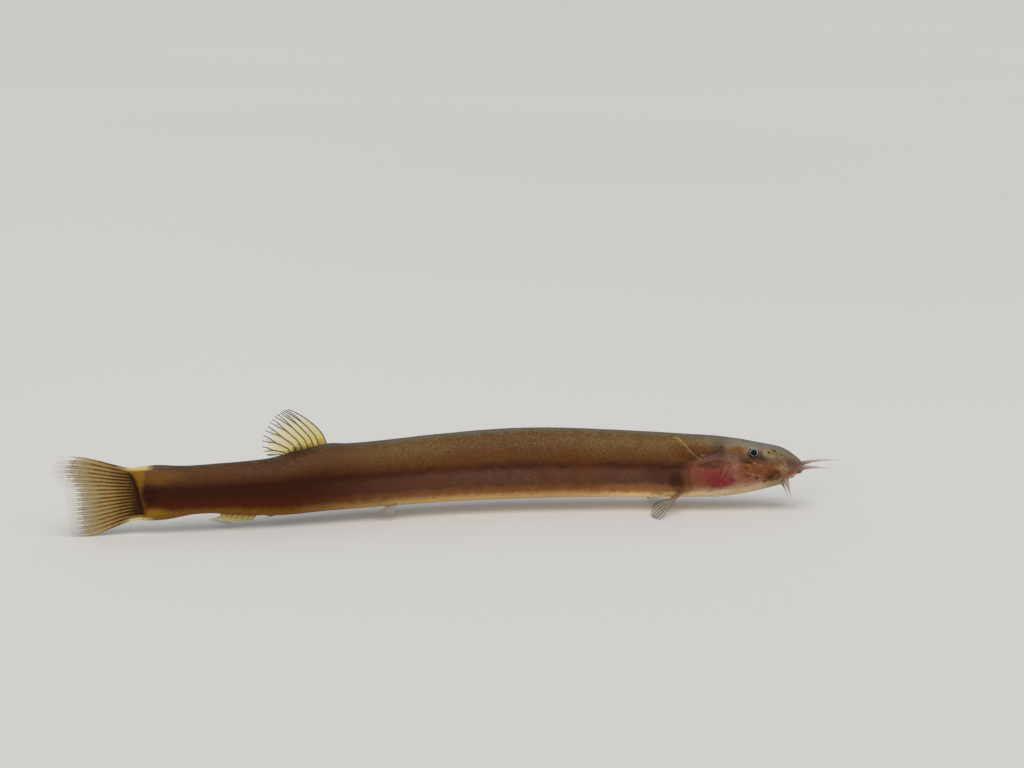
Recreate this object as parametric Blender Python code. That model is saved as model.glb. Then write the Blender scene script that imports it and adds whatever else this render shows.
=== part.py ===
"""Java loach, an adult about 75 mm long, resting on a flat bottom.

The fish looks along +X, its left side is +Y and the floor is z = 0. It stands on the tips of its two
pectoral fins and on the lower lobe of its tail fin. All sizes are in metres.
"""
import math

import bmesh
import bpy
from mathutils import Vector

NAME = "java_loach"
GAP = 0.0003                    # clearance between pieces that touch on the real fish

# Where the tip of the snout stands over the floor plan
SNOUT_X = 0.034555
SNOUT_Y = 0.003756

# The body turns its tail toward its right side in one slow curve
SWING_START = 0.016
SWING_END = 0.046
SWING_ANGLE = 21.0
RELAX_START = 0.050
RELAX_END = 0.068
RELAX_ANGLE = -9.0
PATH_STEP = 0.00025
PATH_LENGTH = 0.085

# Distance behind the snout, height of the axis, rise to the back, drop to the belly, half width
STATIONS = (
    (0.0000, 0.00430, 0.00120, 0.00105, 0.00150),
    (0.0010, 0.00430, 0.00153, 0.00122, 0.00150),
    (0.0022, 0.00430, 0.00193, 0.00175, 0.00157),
    (0.0044, 0.00430, 0.00240, 0.00238, 0.00185),
    (0.0075, 0.00430, 0.00292, 0.00295, 0.00215),
    (0.0115, 0.00430, 0.00324, 0.00310, 0.00230),
    (0.0180, 0.00440, 0.00352, 0.00320, 0.00235),
    (0.0280, 0.00450, 0.00378, 0.00332, 0.00242),
    (0.0360, 0.00445, 0.00356, 0.00328, 0.00235),
    (0.0450, 0.00430, 0.00335, 0.00315, 0.00212),
    (0.0480, 0.00425, 0.00342, 0.00310, 0.00200),
    (0.0530, 0.00410, 0.00272, 0.00302, 0.00170),
    (0.0595, 0.00400, 0.00255, 0.00228, 0.00132),
    (0.0665, 0.00400, 0.00245, 0.00252, 0.00098),
)
SNOUT_ROUNDING = 0.0025
ROUNDNESS = 2.2                 # 2 is an ellipse, more is fuller

# Lengths of the body, cut across at these distances behind the snout
GILL_EDGE = 0.0113
GILL_SWEEP = 0.0012             # the gill cover's edge leans forward above and below
FRONT_END = 0.0265
MIDDLE_END = 0.0426
REAR_END = 0.0534
PEDUNCLE_END = 0.0664

# Head
EYE_PLACE = 0.0051
EYE_ANGLE = 38.0                # above the side, seen from the front
EYE_RADIUS = 0.0005
EYE_DEPTH = 0.0003
NOSTRIL_PLACE = 0.0030
NOSTRIL_ANGLE = 52.0
NOSTRIL_RADIUS = 0.00020
NOSTRIL_STEP = 0.00055          # the rear nostril opens this far behind the front one
MOUTH_WIDTH = 50.0              # degrees each side of the middle of the throat

# Arcs of the mouth: place in the middle, place at the corner, half width, radius, depth in the skin
UPPER_LIP = (0.00090, 0.00175, MOUTH_WIDTH, 0.00032, 0.00006)
LOWER_LIP = (0.00175, 0.00195, MOUTH_WIDTH * 0.8, 0.00027, 0.00004)
MOUTH_LINE = (0.00132, 0.00190, MOUTH_WIDTH, 0.00013, 0.0)

# Fins
RAY_HALF = 0.00033
WEB_HALF = 0.00024
EDGE_HALF = 0.00014
RAY_WIDTH = 0.00022
TIP_THICKNESS = 0.00024
FOOT_REACH = 0.42               # a ray's foot takes at most this share of the gap to the next ray
BRANCH_SPREAD = (0.08, 0.22)    # share of that gap by which a branch leaves its ray, first and last
BRANCH_NOTCH = 0.22             # how far the fin's edge draws in, as a share of its last row
FOOT_NOTCH = 0.12
WEB_NOTCH = 0.35
INNER_LIFT = 0.00012            # the inner rays of a paired fin leave the body at a low angle

# Rays of the back fin: root behind the snout, straight reach, its angle, bend to either side of it
DORSAL_FAN = (
    (0.04795, 0.00536, 40.7, 19.0),
    (0.04874, 0.00505, 44.3, 14.0),
    (0.04925, 0.00489, 45.1, 10.0),
    (0.04983, 0.00469, 44.3, 9.0),
    (0.05039, 0.00442, 41.1, 8.0),
    (0.05100, 0.00395, 35.9, 7.0),
    (0.05156, 0.00338, 27.0, 6.0),
    (0.05197, 0.00273, 12.4, 5.0),
    (0.05227, 0.00181, 0.0, 4.0),
)
DORSAL_FORK = 0.5               # how far out each ray parts into two branches
DORSAL_ROOTS = (0.00042, 0.00036)

ANAL_FRONT = 0.0551
ANAL_REAR = 0.0586
ANAL_TIPS = ((0.0580, 0.00050), (0.0600, 0.00105))      # place and height, first and last ray
ANAL_RAYS = 6
ANAL_ROOT = 0.00032

CAUDAL_RAYS = 16
CAUDAL_FORK = 0.3
CAUDAL_REACH = 0.0065
CAUDAL_UPPER_REACH = 0.0015     # the upper lobe is this much longer
CAUDAL_ROUNDING = 0.0005        # and its corner is this much shorter again
CAUDAL_INSET = 0.0005           # the middle rays are this much longer, so that the rear edge is rounded
CAUDAL_UPPER_TIP = 0.00790
CAUDAL_LIFT = 0.00007           # of the lowest ray's middle, so that its edge lies on the floor

# Paired fins: root ends as (place, degrees), tips of the first and last ray as (place, reach, height)
PECTORAL_RAYS = 7
PECTORAL_ROOTS = ((0.0120, 222.0), (0.0130, 246.0))
PECTORAL_LEAD = {"left": (0.0147, 0.0060, -0.00040), "right": (0.0147, 0.0056, -0.00040)}
PECTORAL_INNER = (0.0147, 0.0020, 0.00100)
PECTORAL_FORM = (0.0007, 0.0003, 0.00036)               # bulge of the edge, arch, half thickness of root
PELVIC_RAYS = 5
PELVIC_ROOTS = ((0.0413, 236.0), (0.0421, 251.0))
PELVIC_LEAD = {"left": (0.0422, 0.0026, 0.00050), "right": (0.0422, 0.0024, 0.00050)}
PELVIC_INNER = (0.0433, 0.0011, 0.00080)
PELVIC_FORM = (0.0003, 0.0001, 0.00030)
FLOOR_LIFT = 0.00008            # of a ray's middle where its tip lies on the floor

# Feelers: place of the root, degrees below the side, lift off the skin, radius of the root,
# tips of the left and the right one as (ahead of the snout, outward, up)
BARBELS = (
    ("rostral", 0.0004, 12.0, GAP, 0.00030, (0.0039, 0.0020, 0.0002), (0.0027, 0.0020, 0.00012)),
    ("maxillary", 0.0019, 42.0, GAP + 0.00016, 0.00030, (-0.0011, 0.0020, -0.0030),
     (-0.0013, 0.0020, -0.0030)),
    ("mandibular", 0.0021, 76.0, GAP + 0.00016, 0.00025, (-0.0014, 0.0005, -0.0031),
     (-0.0014, 0.0005, -0.0031)),
)

RING_POINTS = 28
HEAD_POINTS = 36

SKIN_BROWN = (0.085, 0.038, 0.018, 1.0)
HEAD_BROWN = (0.115, 0.070, 0.045, 1.0)
FIN_YELLOW = (0.42, 0.31, 0.14, 1.0)
TAIL_TAN = (0.27, 0.19, 0.10, 1.0)
BARBEL_GREY = (0.30, 0.22, 0.19, 1.0)
EYE_BLACK = (0.006, 0.005, 0.007, 1.0)

UP = Vector((0.0, 0.0, 1.0))


def smooth(t):
    t = min(1.0, max(0.0, t))
    return t * t * (3.0 - 2.0 * t)


def mix(a, b, t):
    return a + (b - a) * t


def bump(x):
    return math.exp(-x * x)


def heading(s):
    swing = SWING_ANGLE * smooth((s - SWING_START) / (SWING_END - SWING_START))
    relax = RELAX_ANGLE * smooth((s - RELAX_START) / (RELAX_END - RELAX_START))
    return math.radians(swing + relax)


def walk_path():
    points = [(SNOUT_X, SNOUT_Y)]
    for i in range(int(PATH_LENGTH / PATH_STEP)):
        turn = heading((i + 0.5) * PATH_STEP)
        x, y = points[-1]
        points.append((x - math.cos(turn) * PATH_STEP, y - math.sin(turn) * PATH_STEP))
    return points


PATH = walk_path()


def along_path(s):
    i = min(len(PATH) - 2, max(0, int(s / PATH_STEP)))
    t = s / PATH_STEP - i
    return Vector((mix(PATH[i][0], PATH[i + 1][0], t), mix(PATH[i][1], PATH[i + 1][1], t), 0.0))


def ahead(s):
    return Vector((math.cos(heading(s)), math.sin(heading(s)), 0.0))


def left(s):
    return Vector((-math.sin(heading(s)), math.cos(heading(s)), 0.0))


def station(column, s):
    """Read one column of the stations at s, along a curve that never overshoots them."""
    rows = STATIONS
    if s <= rows[0][0]:
        return rows[0][column]
    if s >= rows[-1][0]:
        return rows[-1][column]
    i = max(j for j in range(len(rows) - 1) if rows[j][0] <= s)

    def step(j):
        return rows[j + 1][0] - rows[j][0]

    def slope(j):
        return (rows[j + 1][column] - rows[j][column]) / step(j)

    def tangent(j):
        if j == 0 or j == len(rows) - 1:
            return slope(min(j, len(rows) - 2))
        return (step(j) * slope(j - 1) + step(j - 1) * slope(j)) / (step(j - 1) + step(j))

    t = (s - rows[i][0]) / step(i)
    start = (2 * t ** 3 - 3 * t ** 2 + 1) * rows[i][column]
    end = (3 * t ** 2 - 2 * t ** 3) * rows[i + 1][column]
    bend = (t ** 3 - 2 * t ** 2 + t) * tangent(i) + (t ** 3 - t ** 2) * tangent(i + 1)
    return start + end + bend * step(i)


def rounding(s):
    t = min(1.0, max(0.0, s / SNOUT_ROUNDING))
    return math.sqrt(1.0 - (1.0 - t) ** 2)


def relief(s, degrees):
    """How far the skin stands out over the plain section: cheek, gill cover and the step behind it."""
    side = abs(math.cos(math.radians(degrees))) ** 1.5
    cheek = 0.00008 * bump((s - 0.0058) / 0.0009)
    groove = -0.00012 * bump((s - 0.0072) / 0.00035)
    cover = 0.00014 * bump((s - 0.0097) / 0.0013)
    step = -0.00014 * bump((s - 0.0118) / 0.0008)
    return side * (cheek + groove + cover + step)


def skin(s, degrees):
    """Point of the skin, going round from the left side (0) over the back (90) to the right (180)."""
    c = math.cos(math.radians(degrees))
    h = math.sin(math.radians(degrees))
    r = rounding(s)
    swell = relief(s, degrees)
    across = math.copysign(abs(c) ** (2.0 / ROUNDNESS), c) * (station(4, s) * r + swell)
    rise = station(2 if h > 0.0 else 3, s) * r + swell
    height = station(1, s) + math.copysign(abs(h) ** (2.0 / ROUNDNESS), h) * rise
    return along_path(s) + left(s) * across + UP * height


def outward(s, degrees):
    e = 0.00005
    along = skin(s + e, degrees) - skin(max(0.0, s - e), degrees)
    around = skin(s, degrees + 1.0) - skin(s, degrees - 1.0)
    return along.cross(around).normalized()


def new_material(name, colour, roughness):
    material = bpy.data.materials.new(name)
    material.use_nodes = True
    shader = material.node_tree.nodes["Principled BSDF"]
    shader.inputs["Base Color"].default_value = colour
    shader.inputs["Roughness"].default_value = roughness
    shader.inputs["Metallic"].default_value = 0.0
    return material


def finish_mesh(name, bm, collection, colour=SKIN_BROWN, roughness=0.35):
    bmesh.ops.triangulate(bm, faces=bm.faces)
    bmesh.ops.recalc_face_normals(bm, faces=bm.faces)
    mesh = bpy.data.meshes.new(name)
    bm.to_mesh(mesh)
    bm.free()
    mesh.materials.append(new_material(name + "_material", colour, roughness))
    mesh.shade_smooth()
    mesh.set_sharp_from_angle(angle=math.radians(50.0))
    obj = bpy.data.objects.new(name, mesh)
    collection.objects.link(obj)
    return obj


def loft(rings, nose=None):
    """Join rings of points into one closed body, with a fan at each end."""
    bm = bmesh.new()
    loops = [[bm.verts.new(p) for p in ring] for ring in rings]
    count = len(rings[0])
    for near, far in zip(loops, loops[1:]):
        for i in range(count):
            j = (i + 1) % count
            bm.faces.new((near[i], near[j], far[j], far[i]))
    for ring, loop, tip in ((rings[0], loops[0], nose), (rings[-1], loops[-1], None)):
        middle = bm.verts.new(tip if tip else sum(ring, Vector()) / count)
        for i in range(count):
            bm.faces.new((loop[i], loop[(i + 1) % count], middle))
    return bm


def gill_edge(degrees):
    """The gill cover ends farthest back a little below the middle of the side."""
    return GILL_EDGE - GILL_SWEEP * abs(math.sin(math.radians(degrees))) ** 1.6


def body_ring(s, points, bow=0.0):
    """One ring of skin points; bow 1 follows the gill cover's edge and bow 0 is a straight cut."""
    ring = []
    for i in range(points):
        degrees = 360.0 * i / points
        ring.append(skin(s + bow * (gill_edge(degrees) - GILL_EDGE), degrees))
    return ring


def make_length(name, start, end, rings, collection, bow=0.0):
    """One length of the body. A bow bends the first rings along the gill cover's edge."""
    loops = []
    for i in range(rings + 1):
        t = i / rings
        loops.append(body_ring(mix(start, end, t), RING_POINTS, bow * (1.0 - smooth(4.0 * t))))
    return finish_mesh(name, loft(loops), collection)


def tube(name, points, radii, collection):
    """A tapered tube as a closed mesh."""
    curve = bpy.data.curves.new(name, "CURVE")
    curve.dimensions = "3D"
    curve.bevel_depth = 1.0
    curve.bevel_resolution = 2
    curve.use_fill_caps = True
    spline = curve.splines.new("POLY")
    spline.points.add(len(points) - 1)
    for knot, point, radius in zip(spline.points, points, radii):
        knot.co = (*point, 1.0)
        knot.radius = radius
    source = bpy.data.objects.new(name + "_curve", curve)
    collection.objects.link(source)
    bpy.context.view_layer.update()
    mesh = bpy.data.meshes.new_from_object(source.evaluated_get(bpy.context.evaluated_depsgraph_get()))
    bpy.data.objects.remove(source)
    bm = bmesh.new()
    bm.from_mesh(mesh)
    bmesh.ops.remove_doubles(bm, verts=bm.verts, dist=0.000005)
    bpy.data.meshes.remove(mesh)
    return bm


def to_helper(name, bm, collection):
    obj = finish_mesh(name, bm, collection)
    obj.hide_render = True
    obj.display_type = "WIRE"
    return obj


def keep_largest(bm):
    """Drop every loose scrap of surface but the largest."""
    todo = set(bm.faces)
    shells = []
    while todo:
        stack = [todo.pop()]
        shell = list(stack)
        while stack:
            for edge in stack.pop().edges:
                for face in edge.link_faces:
                    if face in todo:
                        todo.remove(face)
                        stack.append(face)
                        shell.append(face)
        shells.append(shell)
    shells.sort(key=len)
    scraps = [face for shell in shells[:-1] for face in shell]
    bmesh.ops.delete(bm, geom=scraps, context="FACES")


def apply_boolean(obj, helpers, operation):
    modifier = obj.modifiers.new(operation.lower(), "BOOLEAN")
    modifier.operation = operation
    modifier.operand_type = "COLLECTION"
    modifier.collection = helpers
    modifier.solver = "EXACT"
    bpy.context.view_layer.update()
    mesh = bpy.data.meshes.new_from_object(obj.evaluated_get(bpy.context.evaluated_depsgraph_get()))
    obj.modifiers.clear()
    bm = bmesh.new()
    bm.from_mesh(mesh)
    keep_largest(bm)
    bm.to_mesh(mesh)
    bm.free()
    old = obj.data
    obj.data = mesh
    bpy.data.meshes.remove(old)
    for helper in list(helpers.objects):
        bpy.data.objects.remove(helper)


def mirror(degrees, side):
    """The same place on the left or the right side, from its angle above the left side."""
    return degrees if side == "left" else 180.0 - degrees


def mouth_arc(name, shape, helpers):
    """A lip or the mouth's line: an arc under the snout from corner to corner."""
    middle, corner, width, radius, sink = shape
    points = []
    radii = []
    for i in range(11):
        t = i / 5.0 - 1.0
        s = mix(middle, corner, t * t)
        degrees = 270.0 + width * t
        points.append(skin(s, degrees) - outward(s, degrees) * sink)
        radii.append(radius * (1.0 - 0.3 * t * t))
    return to_helper(name, tube(name, points, radii, helpers), helpers)


def ball(s, degrees, radius, depth, segments):
    """A ball flattened along the normal of the skin, with its middle in the skin."""
    centre, normal = skin(s, degrees), outward(s, degrees)
    bm = bmesh.new()
    bmesh.ops.create_uvsphere(bm, u_segments=segments, v_segments=segments // 2 + 1, radius=1.0)
    turn = UP.rotation_difference(normal).to_matrix()
    for vert in bm.verts:
        vert.co = centre + turn @ Vector((vert.co.x * radius, vert.co.y * radius, vert.co.z * depth))
    return bm


def make_head(collection, helpers):
    loops = []
    rings = 22
    for i in range(1, rings + 1):
        t = (i / rings) ** 1.35
        loops.append(body_ring(GILL_EDGE * t, HEAD_POINTS, t ** 3))
    nose = along_path(0.0) + UP * station(1, 0.0)
    head = finish_mesh("head", loft(loops, nose), collection, HEAD_BROWN)

    mouth_arc("upper_lip", UPPER_LIP, helpers)
    mouth_arc("lower_lip", LOWER_LIP, helpers)
    for side in ("left", "right"):
        rim = ball(NOSTRIL_PLACE, mirror(NOSTRIL_ANGLE, side), NOSTRIL_RADIUS * 1.5, NOSTRIL_RADIUS, 10)
        to_helper("nostril_rim", rim, helpers)
    apply_boolean(head, helpers, "UNION")

    mouth_arc("mouth_line", MOUTH_LINE, helpers)
    for side in ("left", "right"):
        for place, depth in ((NOSTRIL_PLACE, 0.0004), (NOSTRIL_PLACE + NOSTRIL_STEP, 0.0002)):
            pit = ball(place, mirror(NOSTRIL_ANGLE, side), NOSTRIL_RADIUS * 0.65, depth, 8)
            to_helper("nostril_pit", pit, helpers)
        socket = ball(EYE_PLACE, mirror(EYE_ANGLE, side), EYE_RADIUS + GAP, EYE_DEPTH + GAP, 14)
        to_helper("eye_socket", socket, helpers)
    apply_boolean(head, helpers, "DIFFERENCE")
    return head


def make_eye(side, collection):
    bm = ball(EYE_PLACE, mirror(EYE_ANGLE, side), EYE_RADIUS, EYE_DEPTH, 12)
    return finish_mesh("eye_" + side, bm, collection, EYE_BLACK, 0.08)


def make_barbel(name, s, degrees, lift, half, tip, collection):
    """A feeler: it leaves the skin squarely, lift away from it, and bends toward its thin tip."""
    out = outward(s, degrees)
    root = skin(s, degrees) + out * lift
    knee = root + out * (tip - root).length * 0.4
    points, radii = [], []
    for i in range(7):
        t = i / 6.0
        points.append(root * (1.0 - t) ** 2 + knee * 2.0 * t * (1.0 - t) + tip * t * t)
        radii.append(half * (1.0 - 0.62 * t))
    return finish_mesh(name, tube(name, points, radii, collection), collection, BARBEL_GREY, 0.4)


def opened(v, fork):
    """How far a ray's two branches have parted, 0 up to the fork and 1 at the tip."""
    return smooth((v - fork) / (1.0 - fork))


def fin_columns(rays, normals, row, rows, fork):
    """Points across the fin at one row: the crest of each ray, or of its two branches with the dip
    between them, and between the rays the web with a foot on either side."""
    v = row / (rows - 1)
    width = RAY_WIDTH * mix(1.0, 0.55, v)
    last = len(rays) - 1
    at_tip = row == rows - 1

    def parting(k):
        """Share of the gap to the next ray by which the branches of ray k stand off its middle."""
        if fork is None or k in (0, last):
            return 0.0
        return mix(*BRANCH_SPREAD, opened(v, fork))

    def rim(k, other):
        """The free edge beside the first or last ray, square to that ray."""
        run = (rays[k][min(row + 1, rows - 1)] - rays[k][max(row - 1, 0)]).normalized()
        away = rays[k][row] - rays[other][row]
        away = (away - run * away.dot(run)).normalized()
        return rays[k][row] + away * width * 0.6, normals[k], EDGE_HALF, k

    def between(k, t, half, pull):
        """A point t of the way from ray k to the next one; a pull draws the fin's edge in there."""
        point = rays[k][row].lerp(rays[k + 1][row], t)
        if at_tip:
            before = rays[k][row - 1].lerp(rays[k + 1][row - 1], t)
            point = point.lerp(before, pull)
        return point, normals[k].lerp(normals[k + 1], t).normalized(), half, k if t < 0.5 else k + 1

    columns = [rim(0, 1)]
    for k, ray in enumerate(rays):
        part = parting(k)
        if part > 0.0:
            columns.append(between(k - 1, 1.0 - part, RAY_HALF, 0.0))
            columns.append(between(k, 0.0, mix(RAY_HALF, WEB_HALF, opened(v, fork)), BRANCH_NOTCH))
            columns.append(between(k, part, RAY_HALF, 0.0))
        else:
            columns.append((ray[row], normals[k], RAY_HALF, k))
        if k == last:
            break
        gap = (rays[k + 1][row] - ray[row]).length
        foot = min(0.3, width / max(1e-9, gap))
        near = min(FOOT_REACH, part + foot)
        far = min(FOOT_REACH, parting(k + 1) + foot)
        columns.append(between(k, near, WEB_HALF, FOOT_NOTCH))
        columns.append(between(k, (near + 1.0 - far) / 2.0, WEB_HALF, WEB_NOTCH))
        columns.append(between(k, 1.0 - far, WEB_HALF, FOOT_NOTCH))
    columns.append(rim(last, last - 1))
    return columns


def make_fin(name, rays, normals, outs, root_halves, collection, colour, fork=None):
    """A fin as one closed sheet: rays stand up as ridges on both faces of a thinner web.

    rays holds the points of each ray from root to tip, and outs the direction in which the body faces
    each root. Both faces are cut into triangles alike, and the fin lies flat where it meets the floor.
    """
    rows = len(rays[0])
    bm = bmesh.new()
    faces_of_fin = ([], [])
    for row in range(rows):
        v = row / (rows - 1)
        lines = ([], [])
        for point, normal, half, k in fin_columns(rays, normals, row, rows, fork):
            root = root_halves[k] * (0.8 if half == EDGE_HALF else 1.0)
            half *= mix(1.0, 0.5, smooth((v - 0.45) / 0.55))
            half = mix(root, half, smooth(v / 0.4))
            if row == 0:
                normal = (normal - outs[k] * normal.dot(outs[k])).normalized()
            a = point + normal * half
            b = point - normal * half
            low, high = (a, b) if a.z < b.z else (b, a)
            low.z = max(low.z, 0.0)
            high.z = max(high.z, abs(normal.z) * TIP_THICKNESS)
            lines[0].append(bm.verts.new(a))
            lines[1].append(bm.verts.new(b))
        faces_of_fin[0].append(lines[0])
        faces_of_fin[1].append(lines[1])
    top, bottom = faces_of_fin
    last = len(top[0]) - 1
    for row in range(rows - 1):
        for c in range(last):
            for side in faces_of_fin:
                a, b, d, e = side[row][c], side[row][c + 1], side[row + 1][c + 1], side[row + 1][c]
                bm.faces.new((a, b, d))
                bm.faces.new((a, d, e))
        for c in (0, last):
            bm.faces.new((top[row][c], top[row + 1][c], bottom[row + 1][c], bottom[row][c]))
    for c in range(last):
        for row in (0, rows - 1):
            bm.faces.new((top[row][c], top[row][c + 1], bottom[row][c + 1], bottom[row][c]))
    return finish_mesh(name, bm, collection, colour, 0.45)


def bent_ray(s, reach, slope, bend, rows):
    """A ray of the back fin: part of a circle that leaves the back steeply and ends flatter."""
    start = math.radians(slope + bend)
    turn = math.radians(-2.0 * bend)
    arc = reach * (turn / 2.0) / math.sin(turn / 2.0)
    points = []
    for row in range(rows):
        v = row / (rows - 1)
        back = (math.sin(start + turn * v) - math.sin(start)) / turn * arc
        rise = (math.cos(start) - math.cos(start + turn * v)) / turn * arc
        points.append(skin(s, 90.0) + UP * (GAP + rise) - ahead(s) * back)
    return points


def make_dorsal(collection):
    rays, normals, outs, roots = [], [], [], []
    for k, (s, reach, slope, bend) in enumerate(DORSAL_FAN):
        rays.append(bent_ray(s, reach, slope, bend, 7))
        normals.append(left(s))
        outs.append(UP)
        roots.append(mix(*DORSAL_ROOTS, k / (len(DORSAL_FAN) - 1)))
    return make_fin("dorsal_fin", rays, normals, outs, roots, collection, FIN_YELLOW, DORSAL_FORK)


def make_anal(collection):
    """The anal fin is folded back along the belly."""
    rays, normals, outs = [], [], []
    rows = 6
    for k in range(ANAL_RAYS):
        f = k / (ANAL_RAYS - 1)
        s = mix(ANAL_FRONT, ANAL_REAR, f)
        root = skin(s, 270.0) - UP * GAP
        (front_tip, front_height), (rear_tip, rear_height) = ANAL_TIPS
        tip = along_path(mix(front_tip, rear_tip, f)) + UP * mix(front_height, rear_height, f ** 1.2)
        rays.append([root.lerp(tip, row / (rows - 1)) for row in range(rows)])
        normals.append(left(s))
        outs.append(-UP)
    return make_fin("anal_fin", rays, normals, outs, [ANAL_ROOT] * ANAL_RAYS, collection, FIN_YELLOW)


def make_caudal(collection):
    rays, normals, outs, roots = [], [], [], []
    rows = 9
    start = PEDUNCLE_END + GAP
    axis = station(1, start)
    for k in range(CAUDAL_RAYS):
        f = 1.0 - 2.0 * k / (CAUDAL_RAYS - 1)
        half_depth = station(2 if f > 0.0 else 3, start) * 0.985
        root_z = axis + half_depth * f
        tip_z = mix(-CAUDAL_LIFT, CAUDAL_UPPER_TIP, (f + 1.0) / 2.0)
        upper = CAUDAL_UPPER_REACH * smooth((f - 0.1) / 0.6)
        reach = CAUDAL_REACH + upper - CAUDAL_ROUNDING * smooth((f - 0.75) / 0.25)
        full = reach + CAUDAL_INSET * (1.0 - f * f)
        ray = []
        for row in range(rows):
            v = row / (rows - 1)
            height = mix(root_z, tip_z, mix(v, smooth(v / 0.82), 0.75))
            ray.append(along_path(start + full * v) + UP * max(height, CAUDAL_LIFT))
        rays.append(ray)
        normals.append(left(start + reach / 2.0))
        outs.append(-ahead(start))
        roots.append(station(4, start) * math.sqrt(max(0.06, 1.0 - abs(f) ** 2.2)) * 0.97)
    return make_fin("caudal_fin", rays, normals, outs, roots, collection, TAIL_TAN, CAUDAL_FORK)


def paired_fin(name, side, count, rows, roots, lead, inner, form, collection):
    """A paired fin, from the ends of its root and the tips of its first and last ray."""
    front, rear = roots
    bulge, arch, root_half = form
    rays, outs = [], []
    for k in range(count):
        f = k / (count - 1)
        s = mix(front[0], rear[0], f)
        degrees = mix(front[1], rear[1], f)
        if side == "left":
            degrees = 540.0 - degrees
        outs.append(outward(s, degrees))
        root = skin(s, degrees) + outs[k] * (GAP + INNER_LIFT * f)
        back = mix(lead[0], inner[0], f) + bulge * 4.0 * f * (1.0 - f)
        reach = mix(lead[1], inner[1], f) * (1.0 if side == "left" else -1.0)
        height = mix(lead[2], inner[2], smooth(f * 1.15 - 0.15))
        tip = along_path(back) + left(back) * reach + UP * height
        ray = []
        for row in range(rows):
            v = row / (rows - 1)
            point = root.lerp(tip, v) + UP * arch * 4.0 * v * (1.0 - v) * (1.0 - 0.6 * f)
            point.z = max(point.z, FLOOR_LIFT)
            ray.append(point)
        rays.append(ray)
    normals = []
    for k in range(count):
        near = rays[max(0, k - 1)]
        far = rays[min(count - 1, k + 1)]
        across = (far[-1] + far[0] - near[-1] - near[0]) / 2.0
        normal = across.cross(rays[k][-1] - rays[k][0]).normalized()
        normals.append(normal if normal.z > 0.0 else -normal)
    halves = [mix(root_half, WEB_HALF, k / (count - 1)) for k in range(count)]
    return make_fin(name, rays, normals, outs, halves, collection, FIN_YELLOW)


def make_pectoral(side, collection):
    return paired_fin("pectoral_fin_" + side, side, PECTORAL_RAYS, 7, PECTORAL_ROOTS, PECTORAL_LEAD[side],
                      PECTORAL_INNER, PECTORAL_FORM, collection)


def make_pelvic(side, collection):
    return paired_fin("pelvic_fin_" + side, side, PELVIC_RAYS, 6, PELVIC_ROOTS, PELVIC_LEAD[side],
                      PELVIC_INNER, PELVIC_FORM, collection)


def make_barbels(collection):
    for name, s, below, lift, half, left_tip, right_tip in BARBELS:
        for side, tip in (("left", left_tip), ("right", right_tip)):
            forward, out, height = tip
            across = out if side == "left" else -out
            end = Vector((SNOUT_X + forward, SNOUT_Y + across, station(1, 0.0) + height))
            degrees = -below if side == "left" else 180.0 + below
            make_barbel(name + "_barbel_" + side, s, degrees, lift, half, end, collection)


def main():
    for obj in list(bpy.data.objects):
        bpy.data.objects.remove(obj)
    collection = bpy.data.collections.new(NAME)
    helpers = bpy.data.collections.new(NAME + "_cutters")
    bpy.context.scene.collection.children.link(collection)
    bpy.context.scene.collection.children.link(helpers)

    make_head(collection, helpers)
    make_length("trunk_front", GILL_EDGE + GAP, FRONT_END, 12, collection, 1.0)
    make_length("trunk_middle", FRONT_END + GAP, MIDDLE_END, 11, collection)
    make_length("trunk_rear", MIDDLE_END + GAP, REAR_END, 9, collection)
    make_length("caudal_peduncle", REAR_END + GAP, PEDUNCLE_END, 9, collection)
    make_dorsal(collection)
    make_anal(collection)
    make_caudal(collection)
    for side in ("left", "right"):
        make_pectoral(side, collection)
        make_pelvic(side, collection)
        make_eye(side, collection)
    make_barbels(collection)


main()
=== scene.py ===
# %% [markdown]
# # Dressing a java loach
# A java loach is a brown, eel-like fish, about as long as a finger. Nothing on it is stiff: it is all
# soft skin, a wet shine and fins that light falls through.
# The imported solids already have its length, its bend and its stance. This lesson builds the skin, eyes,
# feelers and fins that are seen, each over the solids that it stands for.

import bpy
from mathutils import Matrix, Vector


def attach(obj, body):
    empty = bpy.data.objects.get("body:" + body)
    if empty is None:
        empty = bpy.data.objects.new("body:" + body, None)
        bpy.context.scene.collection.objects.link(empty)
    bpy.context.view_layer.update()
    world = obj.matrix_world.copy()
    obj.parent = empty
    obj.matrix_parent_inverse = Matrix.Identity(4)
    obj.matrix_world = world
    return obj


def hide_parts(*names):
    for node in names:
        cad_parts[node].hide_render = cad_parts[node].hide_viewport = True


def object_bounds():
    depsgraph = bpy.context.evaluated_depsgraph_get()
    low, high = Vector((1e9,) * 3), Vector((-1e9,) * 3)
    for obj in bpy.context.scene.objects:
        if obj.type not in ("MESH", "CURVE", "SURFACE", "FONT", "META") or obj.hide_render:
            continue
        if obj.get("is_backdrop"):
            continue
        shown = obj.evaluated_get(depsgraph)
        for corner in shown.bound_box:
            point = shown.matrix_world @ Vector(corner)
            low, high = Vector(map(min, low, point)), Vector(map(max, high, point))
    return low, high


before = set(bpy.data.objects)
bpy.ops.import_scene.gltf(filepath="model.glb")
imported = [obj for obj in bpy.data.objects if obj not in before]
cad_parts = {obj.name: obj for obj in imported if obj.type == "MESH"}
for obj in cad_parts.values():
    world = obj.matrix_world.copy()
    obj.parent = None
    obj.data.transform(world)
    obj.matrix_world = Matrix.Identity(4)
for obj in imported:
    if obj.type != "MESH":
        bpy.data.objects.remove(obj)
solid_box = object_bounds()
print("solids loaded:", len(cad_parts))

# %% Modules and small helpers
import math
from functools import lru_cache

import bpy
import numpy as np
from mathutils import Vector, noise

MM = 0.001
UP = Vector((0.0, 0.0, 1.0))


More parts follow.
